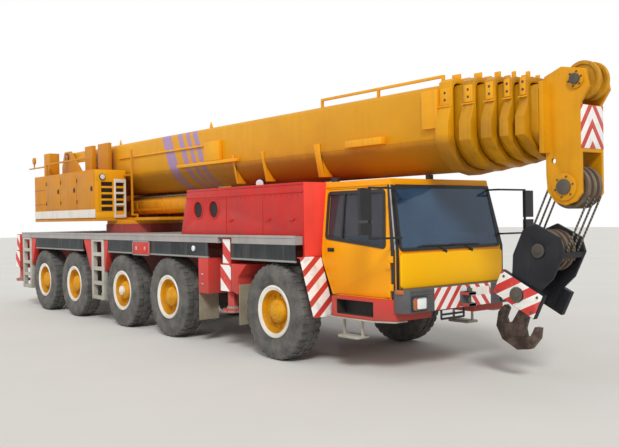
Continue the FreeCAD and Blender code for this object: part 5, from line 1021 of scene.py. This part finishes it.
glazing = bmesh.new()
rims = bmesh.new()
low, bend, high = 2.352, 2.700, 3.378
for z0, z1 in ((low, bend - 0.004), (bend + 0.004, high)):
    corners = [(op_front(z0, 0.001), 0.702, z0), (op_front(z0, 0.001), 1.288, z0), (op_front(z1, 0.001), 1.288, z1), (op_front(z1, 0.001), 0.702, z1)]
    panel(glazing, corners, 0.006, 0.0)
    ring_panel(rims, corners, 0.030, 0.009, 0.0)
side = [(FRONT_AXLE - 6.428, 0.6188, 2.752), (FRONT_AXLE - 5.372, 0.6188, 2.752), (FRONT_AXLE - 5.372, 0.6188, 3.348), (FRONT_AXLE - 6.428, 0.6188, 3.348)]
panel(glazing, side, 0.006, 0.05)
ring_panel(rims, side, 0.032, 0.009, 0.05)
piece("operator_panes", glazing, glass, "superstructure")
piece("operator_pane_seals", rims, seal, "superstructure")
door_pane = [(FRONT_AXLE - 6.428, 1.3705, 2.752), (FRONT_AXLE - 6.428, 1.3705, 3.348), (FRONT_AXLE - 5.532, 1.3705, 3.348), (FRONT_AXLE - 5.378, 1.3705, 2.762)]
bm = bmesh.new()
panel(bm, door_pane, 0.006, 0.03)
piece("operator_door_pane", bm, glass, "operator_door")
bm = bmesh.new()
ring_panel(bm, door_pane, 0.030, 0.008, 0.03)
block(bm, (FRONT_AXLE - 6.46, FRONT_AXLE - 6.34), (1.3705, 1.3990), (2.560, 2.585))
piece("operator_door_seal", bm, seal, "operator_door", ease=0.001)
bm = bmesh.new()
wipe = (op_front(2.80, 0.020), 0.995, 2.80)
rod(bm, (op_front(2.42, 0.016), 0.995, 2.42), wipe, 0.007, 8)
rod(bm, (op_front(2.62, 0.018), 0.990, 2.62), (op_front(3.15, 0.018), 0.990, 3.15), 0.009, 8)
rod(bm, (op_front(2.42, -0.004), 0.995, 2.42), (op_front(2.42, 0.020), 0.995, 2.42), 0.022, 12)
piece("operator_wiper", bm, seal, "superstructure")
bm = bmesh.new()
for y in (0.70, 1.27):
    rod(bm, (FRONT_AXLE - 6.66, y, 3.470), (FRONT_AXLE - 5.42, y, 3.470), 0.009, 8)
piece("operator_roof_gutters", bm, op_yellow, "superstructure")

# Luffing cylinder: a sprayed barrel with a bolted gland at its mouth, and a chromed rod with a forged eye.
# It lifts the boom from the turntable's lugs.
barrel_yellow = enamel("cylinder_yellow", "#E89C20", "#D88C18", "#7C6438", 0.4, gloss=0.38, patch=2.0)
remade("luffing_barrel_tube", "luffing_barrel", "luffing_barrel", everywhere(barrel_yellow), ease=0.004)
remade("luffing_rod_bar", "luffing_rod", "luffing_rod", everywhere(chrome), ease=0.003)
base, eye = Vector((FRONT_AXLE - 7.000, 0, 2.260)), Vector((FRONT_AXLE - 2.950, 0, 2.290))
run = (eye - base).normalized()
mouth = base + run * ((eye - base).length - 0.330)
bm = bmesh.new()
rod(bm, mouth - run * 0.002, mouth + run * 0.030, 0.178, 40)
for k in range(12):
    a = math.radians(k * 30.0)
    side = Vector((0, math.cos(a), math.sin(a))) * 0.150
    rod(bm, mouth + run * 0.028 + side, mouth + run * 0.046 + side, 0.014, 6)
piece("barrel_gland", bm, cast_dirty, "luffing_barrel", ease=0.002)
bm = bmesh.new()
for along in (0.6, 1.7, 2.8):
    rod(bm, base + run * (along - 0.03), base + run * (along + 0.03), 0.1915, 40)
piece("barrel_bands", bm, barrel_yellow, "luffing_barrel", ease=0.003)
bm = bmesh.new()
for s in (-1, 1):
    pipe = Vector((0, s * 0.120, 0.165))
    rod(bm, base + run * 0.35 + pipe, mouth - run * 0.05 + pipe, 0.014, 10)
piece("barrel_oil_pipes", bm, rail_grey, "luffing_barrel")

# Telescopic boom: rolled and welded tubes one in another, each with a collar at its mouth.
# Orange-yellow enamel, with four slanting violet bands near the front of the base section.
# The collars and fittings are brighter, and the belly is drawn darker: painted shade under the boom.
def boom_paint(name, paint, faded):
    """Enamel with violet bands across the walls and painted shade darkening the belly below the lower edge."""
    made = enamel(name, paint, faded, "#7A5C28", 0.4, gloss=0.40, patch=1.1, rain=0.10)
    tree = made.node_tree
    shader = next(node for node in tree.nodes if node.type == "BSDF_PRINCIPLED")
    coat = shader.inputs["Base Color"].links[0].from_socket
    place = add(tree, "ShaderNodeTexCoord").outputs["Object"]
    split = add(tree, "ShaderNodeSeparateXYZ", {0: place})
    lean = add(tree, "ShaderNodeMath", {0: split.outputs["Z"], 1: 0.45, 2: split.outputs["X"]}, operation="MULTIPLY_ADD")
    total = None
    # middle and half width of each band, measured from the front axle at 3.48 m height
    for middle, half in ((-4.47, 0.17), (-3.97, 0.09), (-3.69, 0.07), (-3.435, 0.085)):
        hit = add(tree, "ShaderNodeMath", {0: lean.outputs[0], 1: FRONT_AXLE + middle + 0.45 * 3.48, 2: half}, operation="COMPARE")
        total = hit if total is None else add(tree, "ShaderNodeMath", {0: total.outputs[0], 1: hit.outputs[0]}, operation="MAXIMUM")
    banded = add(tree, "ShaderNodeMix", {0: total.outputs[0], "A": coat, "B": linear("#AA8AB0")}, data_type="RGBA")
    # Painted shade: below about 2.9 m the belly is drawn a darker brown, its edge broken by noise.
    belly_edge_noise = add(tree, "ShaderNodeTexNoise", {"Vector": place, "Scale": 3.0, "Detail": 6.0, "Roughness": 0.7})
    edge = add(tree, "ShaderNodeMath", {0: belly_edge_noise.outputs[0], 1: 0.16, 2: split.outputs["Z"]}, operation="MULTIPLY_ADD")
    belly_painted_shade = add(tree, "ShaderNodeMapRange", {"Value": edge.outputs[0], "From Min": 3.02, "From Max": 2.90, "To Max": 0.62})
    dark = add(tree, "ShaderNodeMix", {0: belly_painted_shade.outputs[0], "A": banded.outputs["Result"], "B": linear("#7C4A18")}, data_type="RGBA")
    tree.links.new(dark.outputs["Result"], shader.inputs["Base Color"])
    return made


boom_orange = boom_paint("boom_orange_with_violet_bands", "#E6A30E", "#DA980C")
# A darker orange for the inner sections and the head plates: painted shade, the tubes drawn as they look in shadow.
section_orange_painted_shade = enamel("inner_section_orange_painted_shade", "#CC8E0A", "#B27A0A", "#6A4C20", 0.4, gloss=0.30, patch=2.5)
remade("boom_base_tube", "boom_base", "boom", everywhere(boom_orange), ease=0.004)
remade("boom_brackets", "boom_fittings", "boom", everywhere(bright_yellow_and_painted_light), ease=0.003)
for number in range(1, 5):
    name = "boom_section_%d" % number
    remade(name + "_tube", name, "section_%d" % number, everywhere(section_orange_painted_shade), ease=0.004)
# rear of each collar, its length along X, half width of its upper walls
for number, (rear, length, half) in enumerate((
    (2.360, 0.200, 0.520), (2.700, 0.180, 0.490), (3.000, 0.150, 0.460), (3.240, 0.120, 0.430), (3.430, 0.120, 0.400),
)):
    body = "section_%d" % number if number else "boom"
    x0, x1 = FRONT_AXLE + rear, FRONT_AXLE + rear + length
    top = 3.603 - 0.030 * number
    bm = bmesh.new()
    holes = bmesh.new()
    for s in (-1, 1):
        block(bm, (x0 + 0.025, x1 - 0.025), (s * (half - 0.003), s * (half + 0.014)), (3.285, 3.485))
        block(bm, (x0 + 0.004, x1 - 0.004), (s * (half - 0.003), s * (half + 0.032)), (3.258, 3.272))
        block(bm, (x0 + 0.035, x1 - 0.035), (s * 0.300, s * 0.322), (top - 0.003, top + 0.070))
        block(bm, (x0 + 0.035, x1 - 0.035), (s * 0.120, s * 0.142), (top - 0.003, top + 0.045))
        for z in (3.345, 3.430):
            middle = (x0 + x1) / 2
            rod(holes, (middle, s * (half + 0.010), z), (middle, s * (half + 0.0155), z), 0.017, 16)
    piece("collar_plates_%d" % number, bm, bright_yellow_and_painted_light, body, ease=0.003)
    piece("collar_plate_bolts_%d" % number, holes, cast_dirty, body, ease=0.001)
bm = bmesh.new()
for s in (-1, 1):
    rod(bm, (FRONT_AXLE - 7.80, s * 0.4995, 2.900), (FRONT_AXLE + 2.35, s * 0.4995, 2.900), 0.0045, 6)
piece("boom_weld_beads", bm, boom_orange, "boom")
bm = bmesh.new()
lamp_place = Vector((FRONT_AXLE - 1.560, -0.400, 2.530))
rod(bm, lamp_place, lamp_place + Vector((0.030, -0.050, -0.010)), 0.075, 28)
piece("boom_work_lamp_body", bm, seal, "boom", ease=0.005)
bm = bmesh.new()
rod(bm, lamp_place + Vector((0.030, -0.050, -0.010)), lamp_place + Vector((0.036, -0.060, -0.012)), 0.064, 28)
piece("boom_work_lamp_lens", bm, lens_white, "boom", ease=0.001)

# Boom head: two thick cheeks and a front plate at the end of the innermost tube.
# Ringed bosses hold the sheave shafts; the front plate is painted white with red bands meeting in a point.
HEAD_HALF_W, HEAD_FRONT = 0.220, FRONT_AXLE + 4.080
head_yellow = enamel("boom_head_yellow", "#DE9A08", "#D08E08", "#8C6A2C", 0.4, gloss=0.40, patch=2.0, rain=0.15)
remade("boom_head_plates", "boom_head", "boom_head", [
    (section_orange_painted_shade, None, None),
    (head_yellow, (FRONT_AXLE + 3.5, -0.5, 2.0), (FRONT_AXLE + 4.3, 0.5, 3.7)),
], ease=0.004)
UPPER = Vector((FRONT_AXLE + 4.030, 0, 3.400))
LOWER = Vector((FRONT_AXLE + 3.880, 0, 2.250))
bm = bmesh.new()
for s in (-1, 1):
    for centre, r in ((UPPER, 0.100), (LOWER, 0.150)):
        rod(bm, centre + Vector((0, s * (HEAD_HALF_W - 0.001), 0)), centre + Vector((0, s * (HEAD_HALF_W + 0.020), 0)), r, 32)
piece("sheave_bosses", bm, head_yellow, "boom_head", ease=0.004)
bm = bmesh.new()
for s in (-1, 1):
    for centre, r in ((UPPER, 0.060), (LOWER, 0.085)):
        rod(bm, centre + Vector((0, s * (HEAD_HALF_W + 0.015), 0)), centre + Vector((0, s * (HEAD_HALF_W + 0.045), 0)), r, 24)
        for k in range(6):
            a = math.radians(k * 60.0 + 15.0)
            spot = centre + Vector((r * 1.35 * math.cos(a), 0, r * 1.35 * math.sin(a)))
            rod(bm, spot + Vector((0, s * (HEAD_HALF_W + 0.018), 0)), spot + Vector((0, s * (HEAD_HALF_W + 0.030), 0)), 0.012, 6)
piece("sheave_shaft_ends", bm, cast_dirty, "boom_head", ease=0.003)
head_chevron, tree, shader = material("boom_head_chevron")
# White enamel with red bands falling away from the middle on both sides.
place = add(tree, "ShaderNodeTexCoord").outputs["Object"]
split = add(tree, "ShaderNodeSeparateXYZ", {0: place})
out = add(tree, "ShaderNodeMath", {0: split.outputs["Y"]}, operation="ABSOLUTE")
climb = add(tree, "ShaderNodeMath", {0: out.outputs[0], 1: 1.35, 2: split.outputs["Z"]}, operation="MULTIPLY_ADD")
turn = add(tree, "ShaderNodeMath", {0: climb.outputs[0], 1: 0.24}, operation="FLOORED_MODULO")
band = add(tree, "ShaderNodeMath", {0: turn.outputs[0], 1: 0.105}, operation="LESS_THAN")
paint = add(tree, "ShaderNodeMix", {0: band.outputs[0], "A": linear("#F6F2EE"), "B": linear("#CC4034")}, data_type="RGBA")
grime = add(tree, "ShaderNodeTexNoise", {"Vector": place, "Scale": 12.0, "Detail": 5.0})
dull = add(tree, "ShaderNodeMapRange", {"Value": grime.outputs[0], "From Min": 0.52, "From Max": 0.8, "To Max": 0.3})
soiled = add(tree, "ShaderNodeMix", {0: dull.outputs[0], "A": paint.outputs["Result"], "B": linear("#A09484")}, data_type="RGBA")
tree.links.new(soiled.outputs["Result"], shader.inputs["Base Color"])
shader.inputs["Roughness"].default_value = 0.4
bm = bmesh.new()
block(bm, (HEAD_FRONT - 0.001, HEAD_FRONT + 0.005), (-HEAD_HALF_W + 0.004, HEAD_HALF_W - 0.004), (2.660, 3.126))
piece("head_warning_plate", bm, head_chevron, "boom_head", ease=0.001)

# Head sheaves: cast wheels with a rope groove in the rim and a web between rim and hub, on turned shafts.
# The upper pair is painted yellow; the lower three are worn grey-brown steel.
sheave_worn = enamel("worn_sheave_steel", "#7C6C5C", "#665648", "#4C4238", 0.4, gloss=0.42, patch=8.0)
sheave_yellow = enamel("painted_sheave_yellow", "#D89C28", "#B88420", "#6C5430", 0.4, gloss=0.42, patch=6.0)


def sheave(bm, centre, radius, half=0.025, shift=0.0):
    """One grooved rope wheel about Y: rim with its groove, a thinner web, and a hub."""
    profile = [
        (0.0, half * 1.0), (radius * 0.30, half * 1.0), (radius * 0.32, half * 0.4), (radius * 0.78, half * 0.35),
        (radius * 0.82, half * 0.9), (radius * 0.985, half), (radius, half * 0.86), (radius * 0.945, half * 0.30),
        (radius * 0.935, 0.0),
    ]
    made = turned(bmesh.new(), profile, turns=48, mirrored=True)
    bmesh.ops.transform(made, matrix=Matrix.Translation(centre + Vector((0, shift, 0))), verts=made.verts)
    held = bpy.data.meshes.new("one_sheave")
    made.to_mesh(held)
    made.free()
    bm.from_mesh(held)
    bpy.data.meshes.remove(held)


bm = bmesh.new()
for y in (-0.080, 0.080):
    sheave(bm, UPPER, 0.2105, shift=y)
upper_sheaves = piece("upper_sheaves", bm, sheave_yellow, "boom_head")
bm = bmesh.new()
for y in (-0.110, 0.0, 0.110):
    sheave(bm, LOWER, 0.238, shift=y)
lower_sheaves = piece("lower_sheaves", bm, sheave_worn, "boom_head")
bm = bmesh.new()
for centre in (UPPER, LOWER):
    rod(bm, centre + Vector((0, -0.2199, 0)), centre + Vector((0, 0.2199, 0)), 0.0412, 28)
head_shafts = piece("sheave_shafts", bm, cast_dirty, "boom_head")
for one in (upper_sheaves, lower_sheaves, head_shafts):
    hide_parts("head_sheaves")

# Hook block: two dark cheeks around three sheaves, with striped ballast plates at its foot.
# It hangs on six falls of wire rope from the head and is drawn back toward the bumper.
# The double hook is forged and turns in the block's cross-head.
BLOCK_TILT = math.radians(26.0)
HANG = Matrix.Translation(LOWER) @ Matrix.Rotation(BLOCK_TILT, 4, "Y")
block_dark = enamel("block_cheek_black", "#202126", "#191A1E", "#3A3936", 0.3, gloss=0.45, patch=3.0)
remade("block_cheeks", "hook_block", "hook_block", everywhere(block_dark), ease=0.006)


def hung(bm):
    """Moves a mesh from the frame that hangs straight down to the tilted block's place."""
    bmesh.ops.transform(bm, matrix=HANG, verts=bm.verts)
    return bm


SHEAVE_DROP, PIN_DROP = 0.780, 1.340
ballast_stripes = striped("ballast_plate_stripes", (-0.40, 0.0, 0.915), 0.190, share=0.52, offset=0.05)
bm = bmesh.new()
for s in (-1, 1):
    corners = [(-0.305, s * 0.3005, -PIN_DROP - 0.135), (0.305, s * 0.3005, -PIN_DROP - 0.135),
               (0.305, s * 0.3005, -PIN_DROP + 0.155), (-0.305, s * 0.3005, -PIN_DROP + 0.155)]
    if s > 0:
        corners.reverse()
    panel(bm, corners, 0.004, 0.008)
piece("ballast_plates", hung(bm), ballast_stripes, "hook_block", ease=0.001)
bm = bmesh.new()
for s in (-1, 1):
    rod(bm, (0, s * 0.300, -PIN_DROP), (0, s * 0.330, -PIN_DROP), 0.085, 28)
    rod(bm, (0, s * 0.328, -PIN_DROP), (0, s * 0.342, -PIN_DROP), 0.048, 6)
    for x, z in ((-0.25, 0.105), (0.25, 0.105), (-0.25, -0.085), (0.25, -0.085)):
        rod(bm, (x, s * 0.300, -PIN_DROP + z), (x, s * 0.314, -PIN_DROP + z), 0.017, 6)
    rod(bm, (0, s * 0.229, -SHEAVE_DROP), (0, s * 0.252, -SHEAVE_DROP), 0.080, 28)
    rod(bm, (0, s * 0.250, -SHEAVE_DROP), (0, s * 0.264, -SHEAVE_DROP), 0.042, 6)
piece("block_pins", hung(bm), cast_dirty, "hook_block", ease=0.003)
bm = bmesh.new()
for y in (-0.110, 0.0, 0.110):
    sheave(bm, Vector((0, 0, -SHEAVE_DROP)), 0.238, shift=y)
block_sheaves = piece("block_sheaves", hung(bm), sheave_worn, "hook_block")
bm = bmesh.new()
rod(bm, (0, -0.2299, -SHEAVE_DROP), (0, 0.2299, -SHEAVE_DROP), 0.0412, 28)
block_shaft = piece("block_sheave_shaft", hung(bm), cast_dirty, "hook_block")
wire, tree, shader = material("greased_wire_rope")
# Steel wire laid up in strands: dark grease in the lay, bright crowns, a slanting rib every 25 mm.
place = add(tree, "ShaderNodeTexCoord").outputs["Object"]
lay = add(tree, "ShaderNodeTexWave", {"Vector": place, "Scale": 12.0, "Distortion": 0.4}, bands_direction="DIAGONAL")
strand = add(tree, "ShaderNodeMix", {0: lay.outputs[1], "A": linear("#3A342E"), "B": linear("#8C8478")}, data_type="RGBA")
tree.links.new(strand.outputs["Result"], shader.inputs["Base Color"])
ribs = add(tree, "ShaderNodeBump", {"Height": lay.outputs[1], "Strength": 0.6, "Distance": 0.003})
tree.links.new(ribs.outputs[0], shader.inputs["Normal"])
shader.inputs["Metallic"].default_value = 0.6
shader.inputs["Roughness"].default_value = 0.45
bm = bmesh.new()
for y in (-0.110, 0.0, 0.110):
    for x in (-0.2507, 0.2507):
        rod(bm, (x, y, -SHEAVE_DROP), (x, y, 0.0), 0.0118, 14)
falls = piece("rope_falls", hung(bm), wire, "hook_block")
for one in (block_sheaves, block_shaft, falls):
    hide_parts("block_reeving")
forged, tree, shader = material("forged_hook_steel")
# Forged steel, oiled and handled: brown-black scale with worn bright spots, soft highlights.
place = add(tree, "ShaderNodeTexCoord").outputs["Object"]
scale = add(tree, "ShaderNodeTexNoise", {"Vector": place, "Scale": 7.0, "Detail": 6.0, "Roughness": 0.65})
wear = add(tree, "ShaderNodeMapRange", {"Value": scale.outputs[0], "From Min": 0.42, "From Max": 0.66})
tone = add(tree, "ShaderNodeMix", {0: wear.outputs[0], "A": linear("#3A2E28"), "B": linear("#6C5A4E")}, data_type="RGBA")
tree.links.new(tone.outputs["Result"], shader.inputs["Base Color"])
shader.inputs["Metallic"].default_value = 0.5
shader.inputs["Roughness"].default_value = 0.42
remade("double_hook", "hook", "hook", everywhere(forged), ease=0.022, segments=3)
